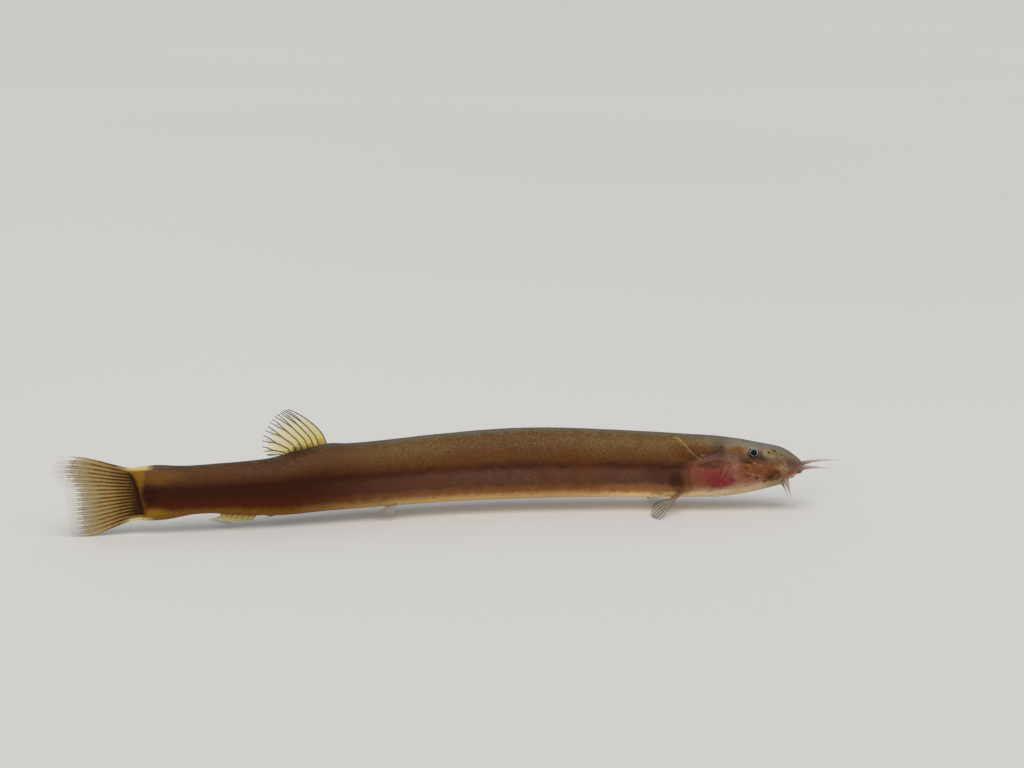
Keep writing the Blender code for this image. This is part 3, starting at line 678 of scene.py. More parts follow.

# %% [markdown]
# ## Folds, lips and openings
# The head is where the eye goes first, so its folds are cut into the mesh. A fold is a line of places on
# the skin, with a width and a height: points near the line move in or out by that height. Both sides of the
# head get the same folds, mirrored. Each fold may also darken the skin (crease: painted shade in the
# groove, and on some folds dark pigment) or carry a pale golden line (glint).

# %% The folds of one side
FOLDS = (
    # line of (mm behind the snout, degrees), width mm, height mm, crease (painted shade, partly
    #     dark pigment), glint
    (((10.4, 157), (11.1, 164), (11.5, 175), (11.6, 190), (11.5, 205), (11.3, 220), (10.9, 234),
      (10.4, 243)), 0.10, -0.09, 0.12, 0.0),
    (((10.1, 160), (10.8, 167), (11.2, 177), (11.3, 190), (11.2, 205), (11.0, 219), (10.7, 228)),
     0.13, 0.06, 0.0, 0.05),
    (((10.5, 174), (10.0, 170), (9.5, 167), (8.9, 164), (8.3, 165), (7.9, 169)), 0.10, -0.05, 0.70, 0.0),
    (((14.2, 178), (13.4, 177), (12.6, 174), (11.8, 167), (10.9, 158), (10.1, 152), (9.5, 150)),
     0.18, -0.05, 0.40, 0.0),
    (((8.2, 129), (8.35, 136), (8.6, 143), (9.1, 150), (9.7, 155), (10.3, 158)), 0.09, -0.04, 0.75, 0.0),
    (((7.6, 175), (7.3, 188), (7.2, 200), (7.4, 214)), 0.12, -0.05, 0.18, 0.0),
    (((7.5, 160), (7.15, 172), (6.95, 185), (6.95, 199), (7.2, 212)), 0.07, 0.03, 0.0, 0.08),
    (((5.2, 165), (5.7, 166.5), (6.3, 163)), 0.06, -0.06, 1.0, 0.0),
    (((12.8, 112), (12.5, 117), (12.25, 124)), 0.12, 0.02, 0.0, 0.55),
    (((12.3, 123), (12.05, 129), (11.7, 138), (11.35, 147)), 0.07, 0.03, 0.0, 0.42),
    (((11.45, 145), (11.2, 150), (10.8, 157), (10.3, 163)), 0.055, 0.02, 0.0, 0.30),
    (((10.3, 153), (10.1, 155)), 0.06, 0.02, 0.0, 0.35),
    (((7.9, 238), (9.0, 243), (10.0, 241)), 0.08, -0.04, 0.10, 0.0),
    (((7.2, 248), (8.4, 253), (9.6, 253)), 0.08, -0.04, 0.10, 0.0),
    (((2.0, 228), (2.6, 216), (3.4, 209), (4.4, 209), (5.4, 214), (6.3, 224)), 0.10, -0.05, 0.28, 0.0),
    (((1.5, 200), (1.9, 190), (2.5, 186), (3.2, 190)), 0.09, -0.04, 0.20, 0.0),
    (((3.0, 177), (2.6, 179), (2.2, 176), (1.9, 179), (1.7, 184)), 0.055, 0.03, 0.0, 0.62),
    (((2.5, 182), (2.1, 187), (1.8, 194), (1.9, 201)), 0.045, 0.02, 0.0, 0.42),
    (((0.35, 236), (0.8, 229), (1.15, 232), (1.4, 244)), 0.07, 0.03, 0.0, 0.60),
    (((3.6, 160), (4.2, 158), (4.8, 160), (5.5, 158)), 0.07, -0.03, 0.25, 0.0),
    (((6.4, 146), (7.0, 152), (7.4, 160)), 0.10, -0.03, 0.15, 0.0),
)
KNOBS = (
    # place (mm, degrees), radius mm, height mm, crease (painted shade round the knob's foot)
    ((12.35, 230), 0.62, 0.26, 0.25),    # fleshy root of the pectoral fin
    ((41.7, 243), 0.50, 0.14, 0.0),      # root of the pelvic fin
    ((0.45, 193), 0.50, 0.16, 0.0),      # roots of the three feelers
    ((1.9, 222), 0.48, 0.16, 0.0),
    ((2.1, 256), 0.32, 0.10, 0.0),
    ((3.1, 130), 0.46, 0.07, 0.0),       # mound that carries the nostrils
    ((53.9, 268), 0.34, 0.09, 0.0),      # vent
    ((1.2, 150), 0.80, -0.03, 0.0),      # flat sides of the snout
)
# each pore is darkened by painted shade in its pit
PORE_RADIUS, PORE_DEPTH, PORE_DARKNESS = 0.055, 0.03, 0.45
PORES = ((4.3, 168), (4.9, 174), (5.7, 178), (6.5, 174), (6.9, 164), (7.0, 150), (4.0, 150),
         (2.4, 165), (3.0, 172), (3.7, 178), (2.6, 205), (3.9, 216), (5.1, 222), (6.3, 236))
EYE_PLACE, EYE_ANGLE = 5.1, 142.0
NOSTRIL_PLACE, NOSTRIL_ANGLE = 3.0, 128.0
print(len(FOLDS), "folds and", len(KNOBS), "knobs on each side")

# %% [markdown]
# ## The skin itself
# The skin is one closed tube of rings from the tip of the snout to the root of the tail fin. Sculpting by
# hand would not repeat, so the rings are simply close together where there is detail: about 0.05 mm
# apart on the head and five times that along the trunk. The rings are placed first, the folds then move
# their points along the surface's own normals.

# %% Lay out the rings
AROUND = 240                    # points on each ring
NOSE_RINGS = 56
RING_RUNS = (
    # from, to and step between the rings, in metres behind the snout
    (SNOUT_ROUNDING, 0.0064, 0.000048), (0.0064, 0.0135, 0.000062),
    (0.0135, 0.0630, 0.00026), (0.0630, FLESH_SHOULDER, 0.0001),
)
END_RINGS = 30
LEAN_START, LEAN_RUN = 0.0620, 0.0024
HEM_WIDTH = 0.0006


def spread(start, end, step):
    count = max(1, round((end - start) / step))
    return [mix(start, end, i / count) for i in range(count)]


ring_places = [SNOUT_ROUNDING * (1.0 - math.cos(math.radians(90.0 * i / NOSE_RINGS)))
               for i in range(1, NOSE_RINGS)]
for start, end, step in RING_RUNS:
    ring_places += spread(start, end, step)
ring_places += [FLESH_SHOULDER + (FLESH_END - FLESH_SHOULDER) * math.sin(math.radians(90.0 * i / END_RINGS))
                for i in range(END_RINGS + 1)]

base, places, angles, hem = [], [], [], []
for s in ring_places:
    lean = smooth((s - LEAN_START) / LEAN_RUN)
    for j in range(AROUND):
        degrees = 360.0 * j / AROUND
        here = s + lean * flesh_reach(level_of(degrees))
        base.append(skin(here, degrees))
        places.append(here * 1000.0)
        angles.append(degrees)
        hem.append(smooth((s - FLESH_END) / HEM_WIDTH + 1.0))
nose = len(base)
base += [along_path(0.0) + UP * station(1, 0.0),
         along_path(FLESH_END) + UP * station(1, FLESH_END)]
places += [0.0, FLESH_END * 1000.0]
angles += [180.0, 180.0]
hem += [0.0, 1.0]
skin_faces = ring_faces(0, len(ring_places), AROUND)
last_ring = (len(ring_places) - 1) * AROUND
for j in range(AROUND):
    k = (j + 1) % AROUND
    skin_faces += [(nose, j, k), (nose + 1, last_ring + k, last_ring + j)]
base = np.array([tuple(p) for p in base])
places = np.array(places)
angles = np.array(angles)
print(len(ring_places), "rings of", AROUND, "points")

# %% [markdown]
# ## How near is a fold?
# A fold works by distance: each point of the skin looks for the nearest part of the fold's line. With
# numpy that is a few lines and runs on all the points at once. The result falls off like a bell, so a
# fold never leaves a hard step in the mesh.

# %% Distances to lines on the skin
def nearness(line, width):
    """1 on a line of points, falling to 0 about two widths away from it."""
    line = [np.array(tuple(p)) for p in line]
    lowest = np.min(line, axis=0) - 3.0 * width
    highest = np.max(line, axis=0) + 3.0 * width
    near = np.flatnonzero(np.all((base > lowest) & (base < highest), axis=1))
    best = np.full(len(near), 1.0)
    for a, b in zip(line, line[1:]):
        run = b - a
        t = np.clip((base[near] - a) @ run / max(run @ run, 1e-18), 0.0, 1.0)
        best = np.minimum(best, np.linalg.norm(base[near] - a - t[:, None] * run, axis=1))
    result = np.zeros(len(base))
    result[near] = np.exp(-(best / width) ** 2)
    return result


def distance_to(centre):
    return np.linalg.norm(base - np.array(tuple(centre)), axis=1)


def on_skin(places_and_angles, mirrored, step=0.25):
    """A smooth run of points on the skin through (mm, degrees) places."""
    run = []
    for (s0, d0), (s1, d1) in zip(places_and_angles, places_and_angles[1:]):
        count = max(1, round(abs(s1 - s0) / step), round(abs(d1 - d0) / 4.0))
        run += [(mix(s0, s1, i / count), mix(d0, d1, i / count)) for i in range(count)]
    run.append(places_and_angles[-1])
    return [skin(s * MM, 180.0 - d if mirrored else d) for s, d in run]


print("nearest skin point to an eye is",
      round(distance_to(skin(EYE_PLACE * MM, EYE_ANGLE)).min() * 1000, 3), "mm away")

# %% [markdown]
# ## Pressing them in
# Folds lie where the jaw, the gill cover and the fins move under the skin and buckle it. Each could be
# sculpted, but a sum is enough: every fold, knob and pore adds its own small height to one list, lift,
# and the points move along their normals only once, at the very end. So folds may cross without tearing
# the mesh, and the two sides stay alike.

# %% Press the folds into the skin
lift = np.zeros(len(base))
crease_shade_and_pigment = np.zeros(len(base))
glint = np.zeros(len(base))
for mirrored in (False, True):
    for line, width, rise, darkness, paleness in FOLDS:
        near = nearness(on_skin(line, mirrored), width * MM)
        lift += near * rise * MM
        crease_shade_and_pigment = np.maximum(crease_shade_and_pigment, near * darkness)
        glint = np.maximum(glint, near * paleness)
    for (s, degrees), radius, rise, darkness in KNOBS:
        centre = skin(s * MM, 180.0 - degrees if mirrored else degrees)
        near = np.exp(-(distance_to(centre) / (radius * MM)) ** 2)
        lift += near * rise * MM
        crease_shade_and_pigment = np.maximum(crease_shade_and_pigment, near * darkness)
    for s, degrees in PORES:
        centre = skin(s * MM, 180.0 - degrees if mirrored else degrees)
        near = np.exp(-(distance_to(centre) / (PORE_RADIUS * MM)) ** 2)
        lift -= near * PORE_DEPTH * MM
        crease_shade_and_pigment = np.maximum(crease_shade_and_pigment, near * PORE_DARKNESS)
print("folds reach from", round(lift.min() * 1000, 2), "to", round(lift.max() * 1000, 2), "mm")

# %% [markdown]
# ## Veins and bright threads
# Fine pink vessels run over the front of the gill cover, and golden threads lie at the corner of the
# mouth. Nobody could place each of them by hand, and no two sides of a fish are alike. So each one is a
# short random walk over the skin, begun somewhere in its field, from a generator with a fixed seed.

# %% Let the veins wander
VEIN_FIELDS = (
    # mm behind the snout, degrees, how many, length mm, pink (vein) and golden (glint) strength
    ((6.8, 8.5), (160, 204), 34, 0.42, 0.85, 0.0),
    ((8.4, 10.4), (174, 208), 8, 0.70, 0.30, 0.0),
    ((4.2, 7.0), (166, 204), 16, 0.35, 0.25, 0.12),
    ((1.7, 3.6), (166, 206), 12, 0.5, 0.30, 0.30),
    ((2.4, 4.2), (124, 156), 10, 0.4, 0.0, 0.30),
)
DEGREES_PER_MM = 24.0           # round the body at the cheek
VEIN_STEPS, VEIN_BEND = 6, 0.55
VEIN_WIDTH, VEIN_RISE = 0.052, 0.012
vein = np.zeros(len(base))
chance = np.random.default_rng(11)
for mirrored in (False, True):
    for (nearest, farthest), (upper, lower), count, length, pink, golden in VEIN_FIELDS:
        for _ in range(count):
            s, degrees = chance.uniform(nearest, farthest), chance.uniform(upper, lower)
            turn = chance.uniform(0.0, 2.0 * math.pi)
            run = []
            for _ in range(VEIN_STEPS + 1):
                run.append((s, degrees))
                turn += chance.normal(0.0, VEIN_BEND)
                s += math.cos(turn) * length / VEIN_STEPS
                degrees += math.sin(turn) * length / VEIN_STEPS * DEGREES_PER_MM
            near = nearness(on_skin(run, mirrored, 0.1), VEIN_WIDTH * MM)
            vein = np.maximum(vein, near * pink)
            glint = np.maximum(glint, near * golden)
lift += vein * VEIN_RISE * MM
print("veins cover", round(100.0 * float((vein > 0.3).mean()), 1), "percent of the points")

# %% [markdown]
# ## Eye sockets and nostrils
# A loach's eye is small and sits under a ring of skin, so each socket is a shallow bowl with a raised
# rim. In front of it are two nostrils: the first opens at the end of a short tube, the second is a plain
# hole behind it. All are round, so the distance from their middle is enough to shape them: a bell for
# each rim and a soft step down for each hollow.

# %% Sockets and nostrils
SOCKET_RADIUS, SOCKET_DEPTH = 0.42, 0.24
BROW_HEIGHT = 5.9               # mm above the floor; the socket's rim is golden above it
NOSTRILS = (
    # mm behind the first one, radius mm, height of the rim mm, depth mm
    (0.0, 0.12, 0.10, 0.26),
    (0.55, 0.10, 0.035, 0.14),
)


def bell(distance, middle, width):
    return np.exp(-((distance - middle) / width) ** 2)


def pit(distance, radius, softness):
    """1 inside the radius and 0 outside it. The limit keeps exp within a computer's numbers."""
    return 1.0 / (1.0 + np.exp(np.minimum((distance - radius) / softness, 60.0)))


for mirrored in (False, True):
    eye = distance_to(skin(EYE_PLACE * MM, 180.0 - EYE_ANGLE if mirrored else EYE_ANGLE)) / MM
    hollow = pit(eye, SOCKET_RADIUS, 0.025)
    lift += (-SOCKET_DEPTH * hollow + 0.050 * bell(eye, 0.57, 0.08)) * MM
    # painted shade: a dark ring in the gap between the eyeball and its socket
    crease_shade_and_pigment = np.maximum(crease_shade_and_pigment, 0.60 * bell(eye, 0.47, 0.05))
    above = np.clip((base[:, 2] / MM - BROW_HEIGHT) / 0.3, 0.0, 1.0)
    glint = np.maximum(glint, 0.22 * above * bell(eye, 0.62, 0.09))
    for step, radius, rim, depth in NOSTRILS:
        place = (NOSTRIL_PLACE + step) * MM
        angle = NOSTRIL_ANGLE + step * 14.0
        opening = distance_to(skin(place, 180.0 - angle if mirrored else angle)) / MM
        hole = pit(opening, radius, 0.022)
        lift += (-depth * hole + rim * bell(opening, radius + 0.09, 0.06)) * MM
        # painted shade: each nostril is dark inside its hole
        crease_shade_and_pigment = np.maximum(crease_shade_and_pigment, hole)
        glint = np.maximum(glint, 0.35 * bell(opening, radius + 0.09, 0.05))
print("deepest hollow is", round(lift.min() * 1000, 2), "mm")

# %% [markdown]
# ## Muscle, ridges and the mouth
# Under the skin of the trunk lie about fifty muscle segments. They show as faint grooves in the shape of
# a V that lies on its side. The back carries a low ridge under each upright fin, and thin folds of skin
# stand above and below the end of the tail stalk. The mouth is a curved slit under the snout.

# %% Trunk and mouth
SEGMENT = 1.12                  # mm from one muscle groove to the next
GROOVE_DEPTH = 0.014            # mm
MOUTH_MIDDLE, MOUTH_CORNER, MOUTH_WIDTH = 1.34, 1.92, 50.0      # mm, mm, degrees to each side
SLIT_WIDTH, SLIT_DEPTH = 0.10, 0.20                             # mm
level = np.array([level_of(d) for d in angles])
phase = (places + 1.3 * np.abs(level) - 0.9 * np.clip(np.abs(level) - 0.62, 0.0, 1.0)) / SEGMENT
groove = np.exp(-((phase - np.round(phase)) / 0.10) ** 2)
fade = np.clip((places - 13.0) / 5.0, 0.0, 1.0) * np.clip((66.0 - places) / 4.0, 0.0, 1.0)
fade *= np.clip((0.93 - np.abs(level)) / 0.25, 0.0, 1.0)
lift -= groove * fade * GROOVE_DEPTH * MM

RIDGES = (
    # start and end mm, degrees, run-out at each end mm, width mm, height mm
    (45.6, 54.4, 90, 2.2, 0.36, 0.13),
    (54.2, 59.8, 270, 1.6, 0.30, 0.12),
    (61.6, 68.6, 90, 3.6, 0.18, 0.26),
    (60.8, 68.2, 270, 3.6, 0.18, 0.26),
    (2.6, 10.0, 270, 1.5, 0.20, -0.06),
)
for start, end, degrees, run_out, width, rise in RIDGES:
    line = [skin(mix(start, end, i / 40) * MM, degrees) for i in range(41)]
    ends = np.clip(np.minimum(places - start, end - places) / run_out, 0.0, 1.0)
    lift += nearness(line, width * MM) * ends * ends * (3.0 - 2.0 * ends) * rise * MM


def mouth_run(middle, corner, width, count=28):
    """Places along an arc under the snout, from the left corner of the mouth to the right."""
    steps = [i / count * 2.0 - 1.0 for i in range(count + 1)]
    return [(mix(middle, corner, t * t), 270.0 - width * t) for t in steps]


slit_run = mouth_run(MOUTH_MIDDLE, MOUTH_CORNER, MOUTH_WIDTH)
slit = nearness([skin(s * MM, d) for s, d in slit_run], SLIT_WIDTH * MM)
lift -= slit * SLIT_DEPTH * MM
# painted shade inside the mouth's slit
crease_shade_and_pigment = np.maximum(crease_shade_and_pigment, slit)
print("mouth is", round((skin(0.0019, 220) - skin(0.0019, 320)).length * 1000, 1), "mm wide")

# %% [markdown]
# ## A little unevenness
# Even a smooth fish isn't a lathe turning. Two slow layers of noise, a fiftieth of a millimetre high,
# bend the highlight along the body the way soft flesh does. After that the piece is finished: one skin
# stands for the head and the four lengths of the body, and no joint between them is left to see.

# %% Finish the skin
UNEVEN = ((420.0, 0.020), (1500.0, 0.006))      # lumps to a metre, and their height in mm

for i, point in enumerate(base):
    spot = Vector(point)
    lift[i] += sum(noise.noise(spot * lumps) * height * MM for lumps, height in UNEVEN)

probe = bpy.data.meshes.new("probe")
probe.from_pydata(base.tolist(), [], skin_faces)
normals = np.zeros(len(base) * 3)
probe.vertex_normals.foreach_get("vector", normals)
normals = normals.reshape(-1, 3)
bpy.data.meshes.remove(probe)
inward = np.sign(np.sum(normals * (base - base.mean(axis=0)), axis=1).mean())
shaped = base + normals * (lift * (inward if inward else 1.0))[:, None]

from_back = 180.0 - np.abs((angles - 90.0 + 180.0) % 360.0 - 180.0)
half_girth = np.array([station(2, s * MM) + station(3, s * MM) + station(4, s * MM) for s in places]) / MM
values = {"place": places, "level": level, "crease_shade_and_pigment": crease_shade_and_pigment, "glint": glint, "vein": vein, "hem": hem,
          "down": (1.0 - from_back / 180.0) * half_girth * 0.8}
make_piece("skin", shaped, skin_faces, values, wet_skin,
           ("head", "trunk_front", "trunk_middle", "trunk_rear", "caudal_peduncle"))

# %% [markdown]
# ## Tubes
# Lips, feelers and the rays of the fins are all tapered tubes along a path. Blender's curves have a bevel
# for this, but they can't carry the numbers that the materials read. So a short function lays rings
# across a path itself. It turns each ring as little as possible from the one before, which keeps the
# tube from twisting.

# %% Lay a tube along a path
def add_tube(points, faces, path_points, radii, sides=8):
    """Adds a closed tube to the lists and returns how far along its path each new point is."""
    first = len(points)
    reach = []
    across = None
    count = len(path_points)
    for i, (middle, radius) in enumerate(zip(path_points, radii)):
        run = (path_points[min(i + 1, count - 1)] - path_points[max(i - 1, 0)]).normalized()
        if across is None:
            across = run.orthogonal()
        across = (across - run * across.dot(run)).normalized()
        other = run.cross(across)
        for j in range(sides):
            angle = 2.0 * math.pi * j / sides
            points.append(middle + (across * math.cos(angle) + other * math.sin(angle)) * radius)
            reach.append(i / (count - 1))
    faces += ring_faces(first, count, sides)
    for ring, tip in ((0, path_points[0]), (count - 1, path_points[-1])):
        points.append(tip.copy())
        reach.append(ring / (count - 1))
        for j in range(sides):
            a, b = first + ring * sides + j, first + ring * sides + (j + 1) % sides
            faces.append((a, b, len(points) - 1) if ring == 0 else (b, a, len(points) - 1))
    return reach


test_points, test_faces = [], []
add_tube(test_points, test_faces, [UP * MM * i for i in range(5)], [0.1 * MM] * 5)
print("a test tube has", len(test_points), "points and", len(test_faces), "faces")

# %% [markdown]
# ## Lips
# A loach feeds with its mouth on the ground, and its lips are thick and a little lumpy. They could be
# pushed out of the skin like the folds, but then they would be as smooth as the snout. As tubes of their
# own they overhang the slit between them, and noise along them gives the small bumps. Their colour is
# the skin's own recipe with some pink in it.

# %% Make both lips
lip_skin = skin_material("lip_skin", 0.60)
snout_tip = SNOUT + UP * station(1, 0.0)
LIP_STEPS = 60
LIPS = (
    # name, mm behind the snout in the middle and at the corners, degrees to each side, radius mm and
    # how deep it is sunk in mm
    ("upper_lip", 1.00, 1.74, 50.0, 0.22, 0.08),
    ("lower_lip", 1.70, 1.96, 42.0, 0.19, 0.06),
)


def make_lip(name, middle, corner, width, radius, sink):
    run = mouth_run(middle, corner, width, LIP_STEPS)
    route, radii = [], []
    for i, (s, degrees) in enumerate(run):
        t = 2.0 * i / LIP_STEPS - 1.0
        lumps = 1.0 + 0.16 * noise.noise(Vector((i * 0.45, middle * 10.0, 0.0)))
        route.append(skin(s * MM, degrees) - outward(s * MM, degrees) * sink * MM)
        radii.append(radius * MM * lumps * max(0.02, 1.0 - abs(t) ** 1.8) ** 0.6)
    points, faces = [], []
    add_tube(points, faces, route, radii, 16)
    for point in points:
        point += (point - snout_tip).normalized() * noise.noise(point * 7000.0) * 0.035 * MM
    place = [middle] * len(points)
    level = [-0.75] * len(points)
    zero = [0.0] * len(points)
    glow = [0.10 + 0.35 * max(0.0, noise.noise(p * 6000.0)) for p in points]
    values = {"place": place, "level": level, "crease_shade_and_pigment": zero, "glint": glow, "down": zero}
    make_piece(name, points, faces, values, lip_skin)


for lip in LIPS:
    make_lip(*lip)

# %% [markdown]
# ## Eyes
# The eye is a flattened ball with a wide black pupil and a thin grey-blue ring of iris, under a clear
# dome. A painted ball would look dull from near. Turning a profile gives the iris its dish and lets the
# lens bulge through the pupil, and a separate clear dome over them catches the light.

# %% Turn a profile about the eye's axis
EYE_REACH = 0.5                 # mm from the axis where the number ring is 1
# Each profile is a list of (distance from the axis, height above the skin) in mm
EYE_PROFILE = ((0.0, -0.27), (0.16, -0.25), (0.30, -0.19), (0.40, -0.12), (0.455, -0.06), (0.462, -0.01),
               (0.455, 0.040), (0.43, 0.085), (0.39, 0.115), (0.375, 0.126), (0.355, 0.134), (0.345, 0.132),
               (0.33, 0.122), (0.27, 0.150), (0.19, 0.175), (0.10, 0.190), (0.0, 0.195))
DOME_PROFILE = ((0.0, 0.207), (0.12, 0.202), (0.22, 0.184), (0.32, 0.160), (0.39, 0.132), (0.44, 0.098),
                (0.468, 0.045), (0.476, -0.030), (0.486, -0.030), (0.484, 0.020), (0.472, 0.065),
                (0.44, 0.120), (0.39, 0.162), (0.32, 0.200), (0.24, 0.227), (0.13, 0.245), (0.0, 0.250))


def turn_profile(profile, degrees, sides=48):
    centre = skin(EYE_PLACE * MM, degrees)
    normal = outward(EYE_PLACE * MM, degrees)
    across = (ahead(EYE_PLACE * MM) - normal * ahead(EYE_PLACE * MM).dot(normal)).normalized()
    other = normal.cross(across)
    points, ring = [], []
    for radius, height in profile[1:-1]:
        for j in range(sides):
            angle = 2.0 * math.pi * j / sides
            side = across * math.cos(angle) + other * math.sin(angle)
            points.append(centre + side * radius * MM + normal * height * MM)
            ring.append(radius / EYE_REACH)
    faces = ring_faces(0, len(profile) - 2, sides)
    for end, first in ((profile[0], 0), (profile[-1], (len(profile) - 3) * sides)):
        points.append(centre + normal * end[1] * MM)
        ring.append(0.0)
        for j in range(sides):
            a, b = first + j, first + (j + 1) % sides
            faces.append((a, b, len(points) - 1) if first == 0 else (b, a, len(points) - 1))
    return points, faces, ring


print("an eyeball is", 2.0 * max(radius for radius, _ in EYE_PROFILE), "mm across")

# %% [markdown]
# ## The eye's looks
# The eye is nearly all pupil, with a thin pale ring that darkens outward, and its lower part is darkened
# by painted shade. Two balls of different colour could be nested, but the number ring already says how far
# a point is from the axis, so one colour ramp paints the whole ball and a little noise keeps the ring's
# edges uneven. The dome bends light only slightly, so that it glints and the ring keeps its shape.

# %% Eye materials and both eyes
def eyeball_material():
    material, tree, shader = new_material("eyeball")
    ring = calc(tree, "ADD", value_of(tree, "ring"), times(tree, cloudy(tree, 0.00012), 0.10))
    shade = ramp(tree, ring, (
        (0.00, colour("#020203")), (0.66, colour("#040406")), (0.71, colour("#B6BCC8")),
        (0.79, colour("#7C86A2")), (0.87, colour("#34384A")), (0.92, colour("#3C2C1C"))))
    flecks = between(tree, grain(tree, 0.00005, 2.0), 0.52, 0.66, 0.0, 0.3)
    flecks = times(tree, flecks, between(tree, ring, 0.62, 0.68))
    shade = blend(tree, flecks, shade, colour("#B9B29A"))
    # painted shade: the eye is darkened below its middle, where less light falls on it
    height = add(tree, "SeparateXYZ", {0: add(tree, "TexCoord").outputs["Object"]}).outputs["Z"]
    middle = skin(EYE_PLACE * MM, EYE_ANGLE).z
    below = between(tree, height, middle + 0.0002, middle - 0.0004, 0.0, 0.6)
    tree.links.new(blend(tree, below, shade, colour("#1C1A20")), shader.inputs["Base Color"])
    shader.inputs["Roughness"].default_value = 0.20
    shader.inputs["Specular IOR Level"].default_value = 0.02
    return material


def dome_material():
    material, tree, shader = new_material("clear_eye_dome")
    haze = between(tree, grain(tree, 0.0002), 0.3, 0.7, 0.0, 0.03)
    tree.links.new(haze, shader.inputs["Roughness"])
    shader.inputs["Base Color"].default_value = (1.0, 1.0, 1.0, 1.0)
    shader.inputs["Transmission Weight"].default_value = 1.0
    shader.inputs["IOR"].default_value = 1.14
    return material


eyeball = eyeball_material()
dome = dome_material()
for side, degrees in (("left", 180.0 - EYE_ANGLE), ("right", EYE_ANGLE)):
    points, faces, ring = turn_profile(EYE_PROFILE, degrees)
    make_piece("eyeball_" + side, points, faces, {"ring": ring}, eyeball, ("eye_" + side,))
    points, faces, ring = turn_profile(DOME_PROFILE, degrees)
    make_piece("eye_dome_" + side, points, faces, {"ring": ring}, dome)

# %% [markdown]
# ## Feelers
# Three pairs of feelers stand round the mouth: one pair points forward from the snout, two hang from the
# corners and the lower lip. Each is fleshy where it leaves the skin and ends as a thread. The radius
# falls off quickly and then slowly, and small bumps along it stand for the taste buds.

# %% Make the feelers
def feeler_material():
    material, tree, shader = new_material("pale_feeler")
    reach = value_of(tree, "reach")
    uneven = calc(tree, "ADD", reach, times(tree, cloudy(tree, 0.00025), 0.35))
    shade = ramp(tree, uneven, (
        (0.00, colour("#6E5246")), (0.12, colour("#84675A")), (0.36, colour("#AE988C")),
        (0.75, colour("#C6B8AC")), (1.00, colour("#DAD0C6"))))
    dark = between(tree, grain(tree, 0.0001, 2.0), 0.56, 0.68, 0.0, 0.45)
    dark = times(tree, dark, between(tree, reach, 0.7, 0.2))
    tree.links.new(blend(tree, dark, shade, SHADES["dark_spot"]), shader.inputs["Base Color"])
    tree.links.new(between(tree, reach, 0.2, 1.0, 1.0, 0.55), shader.inputs["Alpha"])
    shader.inputs["Roughness"].default_value = 0.34
    shader.inputs["Specular IOR Level"].default_value = 0.15
    shader.inputs["Coat Weight"].default_value = 0.1
    shader.inputs["Coat Roughness"].default_value = 0.12
    shader.inputs["Subsurface Weight"].default_value = 0.15
    shader.inputs["Subsurface Scale"].default_value = 0.0004
    lifted = add(tree, "Bump", {"Height": grain(tree, 0.00008), "Strength": 0.5, "Distance": 0.00002})
    tree.links.new(lifted.outputs[0], shader.inputs["Normal"])
    return material


FEELER_STEPS = 40
FEELERS = (
    # name, (mm, degrees below the side), left and right tip (ahead, outward, up) in mm, radius mm, arch mm
    ("rostral", (0.40, 12.0), (3.9, 2.0, 0.2), (2.7, 2.0, 0.12), 0.45, 0.75),
    ("maxillary", (1.90, 42.0), (-1.1, 2.0, -3.0), (-1.3, 2.0, -3.0), 0.58, 0.0),
    ("mandibular", (2.10, 76.0), (-1.4, 0.5, -3.1), (-1.4, 0.5, -3.1), 0.23, 0.0),
)
feeler_skin = feeler_material()


def make_feeler(name, root_place, tip_steps, radius, arch, mirrored):
    s, below = root_place
    degrees = -below if mirrored else 180.0 + below
    out = outward(s * MM, degrees)
    root = skin(s * MM, degrees) - out * 0.12 * MM
    forward, aside, up = tip_steps
    tip = snout_tip + Vector((forward, aside if mirrored else -aside, up)) * MM
    knee = root + out * (tip - root).length * 0.4 + UP * arch * MM
    route, radii = [], []
    for i in range(FEELER_STEPS + 1):
        t = i / FEELER_STEPS
        route.append(root * (1.0 - t) ** 2 + knee * 2.0 * t * (1.0 - t) + tip * t * t)
        lumps = 1.0 + 0.10 * noise.noise(Vector((t * 14.0, s * 3.0, below)))
        flare = 0.45 * math.exp(-t / 0.06)
        radii.append(radius * MM * lumps * (0.05 + 0.62 * (1.0 - t) ** 1.5 + flare))
    points, faces = [], []
    reach = add_tube(points, faces, route, radii, 14)
    node = name.replace("feeler", "barbel")
    make_piece(name, points, faces, {"reach": reach}, feeler_skin, (node,))


for name, root_place, left_tip, right_tip, radius, arch in FEELERS:
    make_feeler(name + "_feeler_left", root_place, left_tip, radius, arch, True)
    make_feeler(name + "_feeler_right", root_place, right_tip, radius, arch, False)

# %% [markdown]
# ## Fins as surfaces
# A fin is a fan: each of its rays runs from root to tip, and a thin skin joins them. If the fan is
# written as a function of two numbers, f across the fan and v from root to tip, everything else follows:
# a ray is the curve at one f, a branch drifts to a slightly different f, and the skin is a grid over
# both. The functions below follow the same roots and tips as the solids.

# %% The back fin and the anal fin
GAP = 0.0003                    # the solids of the fins stand this far off the body


def settle(v, depth=0.00018, gap=GAP):
    """How high a fin stands over the flesh: sunk by depth at its root, raised by gap farther out."""
    return mix(-depth, gap, smooth(v * 5.0))


BACK_FAN = (
    # root mm behind the snout, straight reach mm, its slope, bend to either side of it in degrees
    (47.95, 5.36, 40.7, 19.0), (48.74, 5.05, 44.3, 14.0), (49.25, 4.89, 45.1, 10.0),
    (49.83, 4.69, 44.3, 9.0), (50.39, 4.42, 41.1, 8.0), (51.00, 3.95, 35.9, 7.0),
    (51.56, 3.38, 27.0, 6.0), (51.97, 2.73, 12.4, 5.0), (52.27, 1.81, 0.0, 4.0),
)


